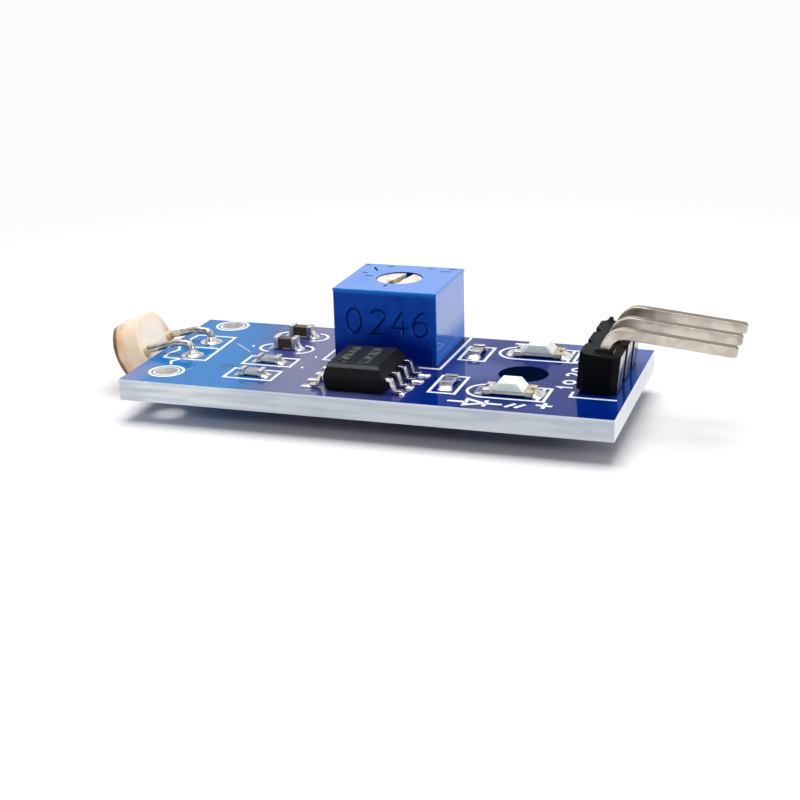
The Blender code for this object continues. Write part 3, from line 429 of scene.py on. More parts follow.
def pin_look():
    """Header pins: brushed along X, with a brown stain where the forming tool bent them; their upward
    faces there are painted dark as painted shade.
    """
    s = Shader("bent_pin")
    spot = s.place()
    x = s.axes(spot)[0]
    streaks = s.noise(s.stretched(spot, (0.12, 1.6, 1.6)), 6.0, 4.0, 0.65)
    patches = s.noise(spot, 0.9, 3.0)
    tone = s.blend(patches.step(0.35, 0.65), (0.54, 0.485, 0.415), (0.7, 0.64, 0.565))
    stain = x.step(14.6, 15.3) * x.step(18.2, 16.2) * s.noise(spot, 1.4, 3.0).step(0.3, 0.65)
    tone = s.blend(stain * 0.45, tone, (0.2, 0.14, 0.09))
    # Painted shade: the pins' upward faces near the bend are painted dark brown.
    painted_top_shade = s.facing()[2].step(0.3, 0.8) * x.step(15.0, 16.8) * 0.85
    tone = s.blend(painted_top_shade, tone, (0.11, 0.08, 0.06))
    tone = s.blend(x.step(21.7, 22.2) * patches.step(0.4, 0.6) * 0.6, tone, (0.25, 0.18, 0.12))
    return s.done(
        tone, streaks * 0.2 + 0.2, Metallic=1.0, Normal=s.bump(streaks, 0.008, 0.5)
    )


pin_metal = pin_look()
for look in (solder_look, tin_look, gold_look, cap_look, wire_look, spring_look, pin_metal):
    print("Metal made:", look.name)

# %% [markdown]
# ## Moulded and fired materials
# The trimmer's case is blue thermoplastic, glossy, with faint flow marks. The chip is black epoxy
# filled with sand, so it is dull and very finely grained. The header is nylon with scuffed edges.
# The rotor is cream plastic, dirty in its slot. Each is a noise or two in colour, roughness and
# bump, at the size the real grain has.

# %% Plastic and ceramic materials
def moulded_look(name, light, dark, roughness, spread, scale, depth, **sockets):
    s = Shader(name)
    spot = s.place()
    flow = s.noise(spot, scale * 0.25, 3.0, distortion=0.6)
    grain = s.noise(spot, scale, 5.0, 0.6)
    tone = s.blend(flow.step(0.3, 0.7), dark, light)
    return s.done(tone, grain * spread + roughness, Normal=s.bump(grain, depth, 0.5), **sockets)


base_ceramic_look = moulded_look(
    "white_ceramic", (0.82, 0.8, 0.76), (0.72, 0.7, 0.66), 0.5, 0.2, 3.0, 0.01
)
light_base_look = moulded_look(
    "light_base_laminate", (0.74, 0.8, 0.7), (0.56, 0.63, 0.52), 0.45, 0.2, 6.0, 0.01
)
lens_look = moulded_look(
    "milky_lens", (0.86, 0.93, 0.88), (0.76, 0.86, 0.8), 0.2, 0.15, 4.0, 0.006,
    Subsurface_Weight=0.35, Subsurface_Radius=(0.6, 0.8, 0.6), Subsurface_Scale=0.4 * MM,
)


def header_look():
    """Black nylon: dull where it was cut and scuffed, polished by the mould on its long sides."""
    s = Shader("black_nylon")
    spot = s.place()
    grain = s.noise(spot, 3.0, 5.0, 0.6)
    polished = s.facing()[0].step(0.86, 0.96)
    tone = s.blend(grain, (0.0008, 0.001, 0.002), (0.002, 0.0025, 0.004))
    return s.done(
        tone, grain * 0.3 + 0.3, Coat_Weight=polished, Coat_Roughness=0.08, Coat_IOR=2.4,
        Specular_IOR_Level=0.06, Normal=s.bump(grain, 0.012, 0.5),
    )


nylon = header_look()
print("Plastics made:", base_ceramic_look.name, light_base_look.name, lens_look.name, nylon.name)

# %% [markdown]
# ## Softened solids
# CAD leaves edges perfectly sharp, and a sharp edge never catches the light. Each small solid is
# therefore copied, its loose triangles are merged back into flat faces, and a narrow bevel with
# weighted normals gives it the thin bright line that a real edge has. The copy then stands for the
# CAD node, which stays unseen for the physics.

# %% A merged, bevelled copy of a CAD node
MERGE_MM = 0.0006
RESISTORS = [f"resistor_{number}" for number in range(1, 5)]
CAPACITORS = [f"capacitor_{number}" for number in range(1, 3)]
CHIP_PARTS = RESISTORS + CAPACITORS
LIGHTS = ("light_near", "light_far")
bevel_report = []


def copy_of(node):
    """A copy of a CAD node's mesh in millimetres, with its loose triangles merged into faces."""
    piece = added(f"{node}_dressed", frame["nodes"][node].data.copy())
    piece.data.transform(Matrix.Scale(1 / MM, 4))
    return edited(
        piece,
        lambda: bpy.ops.mesh.remove_doubles(threshold=MERGE_MM),
        lambda: bpy.ops.mesh.dissolve_limited(angle_limit=math.radians(0.5)),
    )


def dress(node, look, bevel=0.0, segments=2, angle=30, body="module", smooth=40):
    """Replaces a CAD node by a copy of it with narrow rounded edges."""
    piece = copy_of(node)
    if bevel:
        applied(
            piece, "BEVEL", width=bevel, segments=segments, limit_method="ANGLE",
            angle_limit=math.radians(angle), harden_normals=False,
        )
    smoothed(piece, smooth)
    if bevel:
        applied(piece, "WEIGHTED_NORMAL", keep_sharp=True)
    bevel_report.append((node, len(piece.data.polygons)))
    return settled(piece, look, body, [node])


for lead in range(1, 9):
    dress(f"comparator_lead_{lead}", tin_look, 0.03)
for pin in range(1, 4):
    dress(f"header_pin_{pin}", pin_metal, 0.05)
    dress(f"trimmer_pin_{pin}", tin_look, 0.03)
    dress(f"trimmer_joint_{pin}", solder_look)
    dress(f"header_joint_{pin}", solder_look)
for side in ("near", "far"):
    dress(f"photocell_lead_{side}", wire_look, smooth=70)
    dress(f"photocell_joint_{side}", solder_look)
for part in CHIP_PARTS:
    for end in ("a", "b"):
        dress(f"{part}_cap_{end}", cap_look, 0.035)
for light in LIGHTS:
    dress(f"{light}_base", light_base_look, 0.02)
    dress(f"{light}_lens", lens_look, 0.06, 3)
    dress(f"{light}_terminal_left", solder_look, 0.02)
    dress(f"{light}_terminal_right", gold_look, 0.02)
dress("trimmer_base", base_ceramic_look, 0.04)
dress("trimmer_wiper", spring_look, 0.015, 1, body="rotor")
dress("header_body", nylon, 0.07)
print("Softened", len(bevel_report), "solids, largest", max(bevel_report, key=lambda row: row[1]))

# %% [markdown]
# ## Chip resistors and capacitors
# A chip resistor is a white ceramic slip with a dark glaze on its top face only; a chip capacitor is
# one block of brown fired ceramic. The resistor's material looks at the face's direction, so its
# sides stay white as the real ones do.

# %% Resistor and capacitor bodies
def resistor_look():
    s = Shader("resistor_glaze")
    spot = s.place()
    up = s.facing()[2].step(0.3, 0.6)
    grain = s.noise(spot, 5.0, 4.0)
    glaze = s.blend(grain, (0.03, 0.03, 0.033), (0.07, 0.07, 0.075))
    white = s.blend(grain, (0.66, 0.66, 0.64), (0.8, 0.8, 0.78))
    return s.done(
        s.blend(up, white, glaze), 0.55 - up * 0.3, Normal=s.bump(grain, 0.01, 0.5),
        Coat_Weight=up, Coat_Roughness=0.1, Coat_IOR=2.2,
    )


glaze_look = resistor_look()
brown_look = moulded_look(
    "capacitor_ceramic", (0.085, 0.045, 0.015), (0.05, 0.027, 0.01), 0.3, 0.25, 4.0, 0.015
)
for name in RESISTORS:
    dress(f"{name}_body", glaze_look, 0.03)
for name in CAPACITORS:
    dress(f"{name}_body", brown_look, 0.04)
print("Dressed", len(CHIP_PARTS), "chip parts")

# %% [markdown]
# ## Comparator chip
# The chip's body is dark epoxy. A few faint worn rows of grey lie on its top, made in the material as
# noise cut into bands. A shallow round dimple at one corner marks the first lead, as on every chip
# of this kind, and it is a real hollow: a flattened sphere is taken away with a Boolean.

# %% Chip body
chip_low, chip_high = box_of("comparator_body")
chip_mid = (chip_low + chip_high) / 2


def chip_look():
    s = Shader("chip_epoxy")
    spot = s.place()
    x, y, z = s.axes(spot)
    ny, nz = s.facing()[1:]
    grain = s.noise(spot, 9.0, 4.0, 0.6)
    worn = s.noise(spot, 1.6, 3.0)
    tone = s.blend(worn, (0.003, 0.0035, 0.0045), (0.007, 0.008, 0.01))
    rows = (((x - chip_mid.x) * 4.2).wave() * 0.5 + 0.5).step(0.45, 0.8)
    broken = s.noise(s.stretched(spot, (1.0, 2.4, 1.0)), 1.7, 4.0, 0.75).step(0.44, 0.56)
    inside = abs(x - chip_mid.x).step(1.45, 1.25) * abs(y - chip_mid.y).step(1.75, 1.5)
    top = nz.step(0.9, 0.97)
    tone = s.blend(top * 0.5, tone, (0.02, 0.022, 0.026))
    tone = s.blend(rows * broken * inside * top * 0.85, tone, (0.12, 0.135, 0.12))
    # Painted highlight: a lighter band along the top front edge, where the rounded edge catches the
    # light.
    edge = nz.step(0.98, 0.93) * z.step(chip_high.z - 0.24, chip_high.z - 0.14) * ny.step(-0.15, -0.3)
    edge = edge * y.step(chip_low.y + 0.64, chip_low.y + 0.56)
    tone = s.blend(edge * 0.6, tone, (0.06, 0.065, 0.075))
    return s.done(
        tone, grain * 0.2 + 0.4, Coat_Weight=edge * 0.8, Coat_Roughness=0.3, Coat_IOR=2.0,
        Specular_IOR_Level=0.08, Normal=s.bump(grain, 0.008, 0.5),
    )


DIMPLE_RADIUS, DIMPLE_FLATNESS = 0.36, 0.35
DIMPLE_CENTRE = (chip_low.x + 0.95, chip_low.y + 1.05, chip_high.z + 0.02)
chip = copy_of("comparator_body")
bpy.ops.mesh.primitive_uv_sphere_add(
    segments=32, ring_count=16, radius=DIMPLE_RADIUS, location=DIMPLE_CENTRE
)
dimple = bpy.context.active_object
dimple.scale.z = DIMPLE_FLATNESS
applied(chip, "BOOLEAN", object=dimple, operation="DIFFERENCE", solver="EXACT")
bpy.data.objects.remove(dimple)
applied(chip, "BEVEL", width=0.14, segments=4, limit_method="ANGLE", angle_limit=math.radians(25))
smoothed(chip, 35)
applied(chip, "WEIGHTED_NORMAL", keep_sharp=True)
settled(chip, chip_look(), stands_for=["comparator_body"])
print("Chip body has", len(chip.data.polygons), "faces")

# %% [markdown]
# ## Lines as strips
# Printed lines and engraved marks are both strips of even width. A curve's own bevel thins at its
# corners, so the strip's two edges are worked out with true mitres and filled as a flat 2D curve,
# which is then given its thickness. Plain numbers are drawn in the same way, as a stencil cutter or
# a plotter's pen would, from a few straight runs and arcs.

# %% The strip tool and its numbers
PRINT_SINK, PRINT_RISE = 0.006, 0.012
LINE_WIDTH = 0.19


def edge_of(route, offset, closed):
    """The route moved sideways by offset, with true mitres."""
    points = [Vector(point) for point in route]
    count = len(points)
    moved = []
    for index, point in enumerate(points):
        runs = []
        if closed or index:
            runs.append((point - points[index - 1]).normalized())
        if closed or index < count - 1:
            runs.append((points[(index + 1) % count] - point).normalized())
        mean = sum(runs, Vector((0, 0))).normalized()
        normal = Vector((-mean.y, mean.x))
        lean = normal.dot(Vector((-runs[0].y, runs[0].x)))
        moved.append(point + normal * offset / max(lean, 0.3))
    return moved


def welded(obj):
    """Merges doubled corners and points every face outwards."""
    return edited(
        obj,
        lambda: bpy.ops.mesh.remove_doubles(threshold=MERGE_MM),
        lambda: bpy.ops.mesh.normals_make_consistent(inside=False),
    )


def strip(route, closed=False, width=LINE_WIDTH, low=BOARD_TOP - PRINT_SINK, high=BOARD_TOP + PRINT_RISE):
    """A line as a flat closed mesh between two heights."""
    left, right = edge_of(route, width / 2, closed), edge_of(route, -width / 2, closed)
    loops = [left, right] if closed else [left + right[::-1]]
    curve = bpy.data.curves.new("strip", "CURVE")
    curve.dimensions = "2D"
    curve.fill_mode = "BOTH"
    curve.extrude = (high - low) / 2
    for loop in loops:
        spline = curve.splines.new("POLY")
        spline.points.add(len(loop) - 1)
        for point, (x, y) in zip(spline.points, loop):
            point.co = (x, y, 0, 1)
        spline.use_cyclic_u = True
    made = added("strip", curve)
    made.location.z = (low + high) / 2
    alone(made)
    bpy.ops.object.convert(target="MESH")
    bpy.ops.object.transform_apply(location=True, rotation=True, scale=True)
    return welded(made)


def rectangle(x0, y0, x1, y1):
    return [(x0, y0), (x1, y0), (x1, y1), (x0, y1)]


def ring(centre, radius, start=0.0, end=360.0, steps=40, squeeze=1.0):
    """Points on an arc; squeeze narrows it along X."""
    angles = [math.radians(start + (end - start) * step / steps) for step in range(steps + 1)]
    points = [
        (centre[0] + squeeze * radius * math.cos(turn), centre[1] + radius * math.sin(turn))
        for turn in angles
    ]
    return points[:-1] if abs(end - start) == 360 else points


# Each number's lines, as (points, closed), in a box 1 high whose lower left corner is (0, 0).
NUMBERS = {
    0: [(ring((0.3, 0.5), 0.5, steps=24, squeeze=0.6), True)],
    1: [([(0.08, 0.72), (0.32, 1.0), (0.32, 0.0)], False)],
    2: [(ring((0.29, 0.73), 0.27, 160, -35, 10, 1.05) + [(0.02, 0.0), (0.6, 0.0)], False)],
    3: [(ring((0.26, 0.75), 0.25, 150, -80, 10) + ring((0.26, 0.27), 0.27, 80, -150, 12), False)],
    4: [([(0.44, 1.0), (0.0, 0.3), (0.66, 0.3)], False), ([(0.44, 0.62), (0.44, 0.0)], False)],
    6: [
        (ring((0.31, 0.3), 0.3, steps=20, squeeze=0.95), True),
        ([(0.5, 0.99), (0.3, 0.9), (0.12, 0.68), (0.03, 0.42), (0.03, 0.3)], False),
    ],
}


def number_strips(number, corner, size, turn=0.0, **settings):
    """A number's strips, with its lower left corner at corner, turned about that corner."""
    cos, sin = math.cos(turn) * size, math.sin(turn) * size
    made = []
    for points, closed in NUMBERS[number]:
        route = [(corner[0] + x * cos - y * sin, corner[1] + x * sin + y * cos) for x, y in points]
        made.append(strip(route, closed, **settings))
    return made


print("Numbers that can be drawn:", sorted(NUMBERS))

# %% [markdown]
# ## Trimmer case
# The case has a dial's plain numbers cut into its front, and short ticks round the rotor. Each mark
# is a strip taken away with a Boolean. The Manifold solver is used, because the Exact one can lose a
# whole mesh when a cut lies flat against many small faces, and the faces are counted after each cut.
# The plastic is satin on the front, where the mould was textured, and glossy elsewhere: a clear coat
# whose weight follows the direction of the face, and which is worn near the foot of the two ends. A
# cut mark looks darker because less light reaches its floor, and the material helps it a little.

# %% Case material
case_low, case_high = box_of("trimmer_case")
rotor_low, rotor_high = box_of("trimmer_rotor")
rotor_mid = (rotor_low + rotor_high) / 2
MARK_DEPTH = 0.14


def case_look():
    s = Shader("blue_case_plastic")
    spot = s.place()
    x, y, z = s.axes(spot)
    nx, ny, nz = s.facing()
    flow = s.noise(spot, 0.8, 3.0, distortion=0.6)
    grain = s.noise(spot, 4.0, 5.0, 0.6)
    front, top = ny.step(-0.6, -0.95), nz.step(0.5, 0.9)
    tone = s.blend(flow.step(0.3, 0.7), (0.001, 0.055, 0.41), (0.004, 0.075, 0.48))
    # Painted shade: the lower middle of the front is painted darker, for the dark surroundings it
    # reflects.
    painted_low_shade = (z + flow * 0.8 + abs(x - rotor_mid.x - 0.4) * 0.3).step(4.9, 3.2) * front
    tone = s.blend(painted_low_shade * 0.9, tone, (0.0, 0.008, 0.2))
    # Painted highlight: a lighter band down the right-hand edge of the front, where the rounded corner
    # catches the light.
    corner = x.step(case_high.x - 0.5, case_high.x - 0.1)
    tone = s.blend(corner * 0.6, tone, (0.003, 0.1, 0.52))
    # Painted light and shade: each face direction has its own blue, the front darkest and the right-hand
    # side and the top lightest, as they are lit.
    tone = s.blend(1 - front, tone, (0.006, 0.11, 0.5))
    tone = s.blend(nx.step(0.9, 0.99), tone, (0.001, 0.16, 0.7))
    # Painted highlight: the lip along the top of the front is painted a lighter blue.
    lip = z.step(case_high.z - 0.4, case_high.z - 0.12) * y.step(case_low.y + 0.3, case_low.y + 0.2)
    tone = s.blend(lip * (1 - top) * 0.85, tone, (0.01, 0.2, 0.72))
    # Painted light: the top is painted a lighter blue than the front.
    tone = s.blend(top, tone, (0.0, 0.17, 0.66))
    sunk = nz.step(0.8, 0.9) * z.step(case_high.z - 0.04, case_high.z - 0.08)
    tone = s.blend(sunk * 0.9, tone, (0.0, 0.05, 0.3))
    sunk_front = ny.step(-0.8, -0.9) * y.step(case_low.y + 0.04, case_low.y + 0.08)
    tone = s.blend(sunk_front * 0.8, tone, (0.0, 0.008, 0.12))
    worn_foot = abs(nx).step(0.9, 0.99) * (z + flow * 0.8).step(4.1, 2.2) * 0.85
    coat = (0.9 - top * 0.2) * ny.step(-0.6, -0.3) * (1 - sunk) * (1 - worn_foot)
    return s.done(
        tone, grain * 0.15 + 0.3, Coat_Weight=coat,
        Coat_Roughness=0.06, Coat_IOR=2.2, Specular_IOR_Level=0.08, Normal=s.bump(grain, 0.002, 0.5),
    )


case_plastic = case_look()
print("Case from", rounded(case_low), "to", rounded(case_high))

# %% Marks cut into the case
def carve(piece, cutter):
    """Cuts cutter away from piece. A true cut adds faces, so the script stops if it added none."""
    faces = len(piece.data.polygons)
    applied(piece, "BOOLEAN", object=cutter, operation="DIFFERENCE", solver="MANIFOLD")
    bpy.data.objects.remove(cutter)
    if len(piece.data.polygons) <= faces:
        raise RuntimeError(f"{piece.name} has no more faces after a cut than before it")


# The case has a lip round its top, which stands out by less than this.
LIP_REACH = 0.08


def on_outside(vert):
    """Which of the case's five outer planes a corner lies on."""
    place = vert.co
    gaps = (
        place.x - case_low.x, case_high.x - place.x, place.y - case_low.y, case_high.y - place.y,
        case_high.z - place.z,
    )
    return {index for index, gap in enumerate(gaps) if gap < LIP_REACH}


case = copy_of("trimmer_case")
weights = case.data.attributes.new("bevel_weight_edge", "FLOAT", "EDGE")
for edge in case.data.edges:
    ends = [on_outside(case.data.vertices[index]) for index in edge.vertices]
    weights.data[edge.index].value = float(len(ends[0] & ends[1]) == 2)
applied(case, "BEVEL", width=0.12, segments=3, limit_method="WEIGHT", use_clamp_overlap=False)
NUMBER_PLACES = {0: -3.0, 2: -1.35, 4: 0.1, 6: 1.45}
NUMBER_FOOT, NUMBER_SIZE = 3.3, 1.65
for number, x in NUMBER_PLACES.items():
    corner = (x, NUMBER_FOOT)
    strokes = number_strips(number, corner, NUMBER_SIZE, width=0.17, low=-MARK_DEPTH, high=MARK_DEPTH)
    for cutter in strokes:
        cutter.rotation_euler.x = math.pi / 2
        cutter.location.y = case_low.y
        carve(case, cutter)
# Each tick's middle, length and direction in degrees.
TICKS = (
    (-2.71, 5.5, 0.95, 120), (-2.6, 3.72, 0.6, 175), (-3.1, 4.4, 0.45, 150), (-0.7, 1.5, 0.5, 80),
    (2.1, 5.73, 0.7, 10), (2.45, 6.4, 0.5, 20), (-3.6, 6.4, 0.4, 30), (-1.92, 6.35, 0.45, 5),
    (0.9, 6.3, 0.35, 15),
)
for x, y, length, turn in TICKS:
    reach = Vector((math.cos(math.radians(turn)), math.sin(math.radians(turn)))) * length / 2
    middle = Vector((x, y))
    low, high = case_high.z - MARK_DEPTH, case_high.z + 0.1
    carve(case, strip([middle - reach, middle + reach], width=0.15, low=low, high=high))
smoothed(case, 35)
applied(case, "WEIGHTED_NORMAL", keep_sharp=True, weight=100)
settled(case, case_plastic, stands_for=["trimmer_case"])
print("Trimmer case has", len(case.data.polygons), "faces")

# %% [markdown]
# ## Rotor
# The rotor is the part a screwdriver turns, so it rides on its own body. Its cream plastic has
# random brown smears, and its slot is painted darker as painted shade, which the material finds by
# height: the slot's floor lies 0.6 mm under the rim. The slot's far end is painted nearly black as
# painted shadow, and a brown spot is painted at its near end. Object coordinates turn with the
# rotor, so the smears and the painted shade turn with it.

# %% Rotor
SLOT_SHADOW_END, BROWN_END = (-0.1, 4.5), (-0.56, 2.85)


def rotor_look():
    s = Shader("cream_rotor")
    spot = s.place()
    x, y, z = s.axes(spot)
    grain = s.noise(spot, 3.0, 4.0)
    # Painted shade: the slot is painted darker towards its floor.
    painted_low_shade = z.step(rotor_high.z - 0.1, rotor_high.z - 0.5)
    tone = s.blend(grain, (0.68, 0.6, 0.5), (0.84, 0.79, 0.72))
    tone = s.blend(painted_low_shade * 0.25, tone, (0.3, 0.22, 0.14))
    smear = s.noise(spot, 1.2, 3.0).step(0.52, 0.68)
    tone = s.blend(smear * 0.6, tone, (0.36, 0.24, 0.12))
    # Painted shadow: the slot's far end is painted nearly black; a brown spot is painted at its near end.
    tone = s.blend(s.apart(x, y, SLOT_SHADOW_END).step(0.75, 0.45) * painted_low_shade, tone, (0.005, 0.012, 0.04))
    tone = s.blend(s.apart(x, y, BROWN_END).step(0.6, 0.3) * 0.8, tone, (0.2, 0.1, 0.03))
    return s.done(tone, grain * 0.25 + 0.35, Normal=s.bump(grain, 0.015, 0.5))


dress("trimmer_rotor", rotor_look(), 0.06, 3, body="rotor")
print("Rotor dressed, top at", round(rotor_high.z, 2), "mm")

# %% [markdown]
# ## Photocell
# The photocell is a ceramic disc dipped in clear cream resin, with the sensing track on the face
# that points away from the board. Its colour changes from the pale back to an orange, then a brown
# rim at the face. The material measures how far a point lies behind the face, along the cell's own
# axis, because the cell droops by 22.7 degrees.

# %% Photocell
DROOP = math.radians(22.7)
CELL_THICKNESS, CELL_LEAD_PITCH = 2.0, 3.45
CELL_FACE = Vector((-18.73, 0.33, 0.77))
CELL_AXIS = Vector((-math.cos(DROOP), 0, -math.sin(DROOP)))


def cell_look():
    s = Shader("cell_resin")
    spot = s.place()
    x, y, z = s.axes(spot)
    behind = (CELL_FACE.x - x) * CELL_AXIS.x + (CELL_FACE.z - z) * CELL_AXIS.z
    across = (CELL_FACE.x - x) * CELL_AXIS.z - (CELL_FACE.z - z) * CELL_AXIS.x
    outward = (across ** 2 + (y - CELL_FACE.y) ** 2).root()
    cloud = s.noise(spot, 0.7, 3.0)
    grain = s.noise(spot, 6.0, 3.0)
    # Painted shade: the resin is painted more orange away from the cell's axis, for light falling off
    # round the rounded rim.
    tone = s.blend((outward + cloud * 1.4).step(1.5, 3.1), (0.93, 0.84, 0.74), (0.92, 0.73, 0.55))
    tone = s.blend((behind + cloud * 1.6).step(1.9, 1.0) * 0.8, tone, (0.76, 0.4, 0.17))
    tone = s.blend((behind + cloud * 0.3).step(0.5, 0.36) * 0.9, tone, (0.1, 0.05, 0.025))
    face = behind.step(0.04, 0.02) * outward.step(2.0, 1.9)
    tone = s.blend(face, tone, (0.5, 0.44, 0.38))
    return s.done(
        tone, grain * 0.1 + 0.1, Normal=s.bump(cloud, 0.2, 0.6), Coat_Weight=0.5, Coat_Roughness=0.04,
        Subsurface_Weight=0.3, Subsurface_Radius=(1.0, 0.6, 0.35), Subsurface_Scale=0.5 * MM,
    )


def track_look():
    s = Shader("sensing_track")
    grain = s.noise(s.place(), 8.0, 4.0)
    return s.done(
        s.blend(grain, (0.6, 0.16, 0.04), (0.78, 0.3, 0.08)), 0.5, Normal=s.bump(grain, 0.01, 0.6)
    )


cell_resin = cell_look()
cell = copy_of("photocell_body")
smoothed(cell, 80)
settled(cell, cell_resin, stands_for=["photocell_body"])
dress("photocell_track", track_look(), 0.02, 1)
print("Photocell dressed")

# %% [markdown]
# ## Turned details
# Plated holes, the collars of resin round the wires and the solder round them are all solids of
# revolution. Their profile is drawn as pairs of radius and height and spun round an upright axis;
# the spin closes on itself, so its last ring is merged with its first.

# %% The spinning tool
def spun(name, centre, profile, steps=48):
    """A solid of revolution about an upright axis, from a closed profile of (radius, height)."""
    mesh = bpy.data.meshes.new(name)
    count = len(profile)
    edges = [(i, (i + 1) % count) for i in range(count)]
    mesh.from_pydata([(radius, 0, height) for radius, height in profile], edges, [])
    made = added(name, mesh)
    edited(made, lambda: bpy.ops.mesh.spin(
        steps=steps, angle=2 * math.pi, center=(0, 0, 0), axis=(0, 0, 1), use_auto_merge=False
    ))
    made.location = centre
    return smoothed(welded(made))


WIRE_RADIUS = 0.25
COLLAR_PROFILE = [
    (0.255, -0.1), (0.255, 0.3), (0.28, 0.29), (0.32, 0.2), (0.34, 0.08), (0.4, 0.0), (0.4, -0.1)
]
collar_look = moulded_look("resin_collar", (0.7, 0.58, 0.4), (0.5, 0.36, 0.2), 0.15, 0.1, 2.0, 0.01)
for side, label in ((-1, "near"), (1, "far")):
    exit_point = CELL_FACE - CELL_AXIS * CELL_THICKNESS + Vector((0, side * CELL_LEAD_PITCH / 2, 0))
    collar = spun(f"cell_collar_{label}", exit_point, COLLAR_PROFILE, 28)
    collar.rotation_euler.y = math.pi / 2 - DROOP
    settled(collar, collar_look)
print("Far resin collar at", rounded(exit_point))

# %% [markdown]
# ## Plated holes
# The two corner holes are plated through with tin: a thin sleeve in the hole, and a flat ring on
# each face. One profile of the sleeve and its rings is spun round the hole's axis.

# %% Plated rings and sleeves
CORNER_HOLES = ((-13.7, -4.78), (-13.7, 5.8))
HOLE_RADIUS, PLATING_REACH = 0.8, 0.88
plating_look = moulded_look(
    "dull_plating", (0.98, 0.97, 0.95), (0.9, 0.86, 0.8), 0.2, 0.15, 2.0, 0.01, Metallic=0.25
)


def plated_hole(name, centre, radius, reach):
    """A plated sleeve of one radius, whose flat rings reach a wider one."""
    wall, film = 0.04, 0.02
    top, low = BOARD_TOP, board_low.z
    inner = radius - wall
    profile = [
        (inner, low - film), (inner, top + film), (inner + 0.03, top + film * 1.5),
        (reach - 0.05, top + film * 1.2), (reach, top + film * 0.4), (reach, top - film),
        (radius - 0.002, top - film), (radius - 0.002, low + film), (reach, low + film),
        (reach, low - film),
    ]
    return settled(spun(name, (*centre, 0), profile), plating_look)


for label, centre in zip(("near", "far"), CORNER_HOLES):
    plated_hole(f"corner_plating_{label}", centre, HOLE_RADIUS, PLATING_REACH)
print("Plated", len(CORNER_HOLES), "holes")

# %% [markdown]
# ## Solder
# Solder wets both the pad and the metal it joins, and its free surface pulls into a hollow curve
# that is high at the part and thin at the pad's rim. Round a wire that curve is spun; against a
# flat end it is a ramp, made from a grid whose rows are lifted along the same curve and which is
# then closed by a skirt.

# %% Solder round the photocell's wires
def wire_fillet(name, centre, wire, pad, height):
    top = BOARD_TOP
    profile = [(wire - 0.03, top - 0.02), (wire - 0.03, top + height)]
    for share in (0.0, 0.06, 0.12, 0.2, 0.3, 0.42, 0.55, 0.7, 0.85, 1.0):
        rise = 0.03 + (height - 0.03) * (1 - share) ** 3.4
        profile.append((wire + 0.02 + (pad - wire - 0.02) * share, top + rise))
    profile.append((pad, top - 0.02))
    return settled(spun(name, (*centre, 0), profile, 40), solder_look)


WIRE_PADS = {"near": (-13.53, -1.19), "far": (-13.53, 1.85)}
WIRE_PAD_RADIUS, WIRE_SOLDER_HEIGHT = 0.76, 0.42
for label, centre in WIRE_PADS.items():
    wire_fillet(f"wire_solder_{label}", centre, WIRE_RADIUS, WIRE_PAD_RADIUS, WIRE_SOLDER_HEIGHT)
print("Solder round", len(WIRE_PADS), "wires")

# %% Solder ramps at flat ends
ROWS, COLUMNS = 14, 12


def ramp(name, toe, heel, width, height, foot=0.05):
    """Solder from a pad's outer end, toe, up to a part's end, heel. Both are (x, y)."""
    toe, heel = Vector(toe), Vector(heel)
    run = heel - toe
    none_selected()
    bpy.ops.mesh.primitive_grid_add(x_subdivisions=ROWS, y_subdivisions=COLUMNS, size=1)
    made = bpy.context.active_object
    made.name = name
    for vert in made.data.vertices:
        along, across = vert.co.x + 0.5, vert.co.y * 2
        bulge = (1 - across * across) ** 0.5
        toe_round = 1 - (1 - min(1.0, along * 3)) ** 2
        vert.co.z = bulge * (foot * toe_round ** 0.5 + height * along ** 2.2) + 0.004
        vert.co.x = along * run.length
        vert.co.y *= width * (0.45 + 0.55 * toe_round ** 0.5)
    edited(
        made,
        lambda: bpy.ops.mesh.extrude_region_move(),
        lambda: bpy.ops.transform.resize(value=(1, 1, 0)),
    )
    for vert in made.data.vertices:
        if vert.select:
            vert.co.z = -0.02
    edited(made, lambda: bpy.ops.mesh.normals_make_consistent(inside=False))
    made.location = (*toe, BOARD_TOP)
    made.rotation_euler = (0, 0, math.atan2(run.y, run.x))
    smoothed(made, 85)
    return settled(made, solder_look)


def end_ramps(name, first, second, toe, width, share):
    """Solder at both ends of a chip part, along the axis on which its two metal ends lie."""
    low, high = box_of(first)
    far_low, far_high = box_of(second)
    middle, far_middle = (low + high) / 2, (far_low + far_high) / 2
    run = (far_middle - middle).to_2d().normalized()
    reach = (high - low).to_2d().dot(Vector((abs(run.x), abs(run.y)))) / 2
    rise = (high.z - BOARD_TOP) * share
    for end, place, way in (("a", middle, -1), ("b", far_middle, 1)):
        edge = place.to_2d() + run * way * reach
        ramp(f"{name}_solder_{end}", edge + run * way * toe, edge - run * way * 0.06, width, rise)


for name in CHIP_PARTS:
    end_ramps(name, f"{name}_cap_a", f"{name}_cap_b", toe=0.4, width=0.95, share=0.75)
for name in LIGHTS:
    end_ramps(name, f"{name}_terminal_left", f"{name}_terminal_right", toe=0.6, width=1.5, share=0.85)
UNDER_LEAD = 0.12
LEAD_TOES = {1: 0.7, 2: 0.75, 3: 0.65, 4: 0.7, 5: 0.2, 6: 0.35, 7: 0.6, 8: 0.65}
for lead, toe in LEAD_TOES.items():
    low, high = box_of(f"comparator_lead_{lead}")
    y = (low.y + high.y) / 2
    way = -1 if lead <= 4 else 1
    outer = low.x if lead <= 4 else high.x
    ramp(
        f"lead_solder_{lead}", (outer + way * toe, y), (outer - way * UNDER_LEAD, y),
        width=0.56, height=0.04, foot=0.13,
    )
print("Solder at", len(LEAD_TOES), "chip leads and at both ends of eight chip parts")

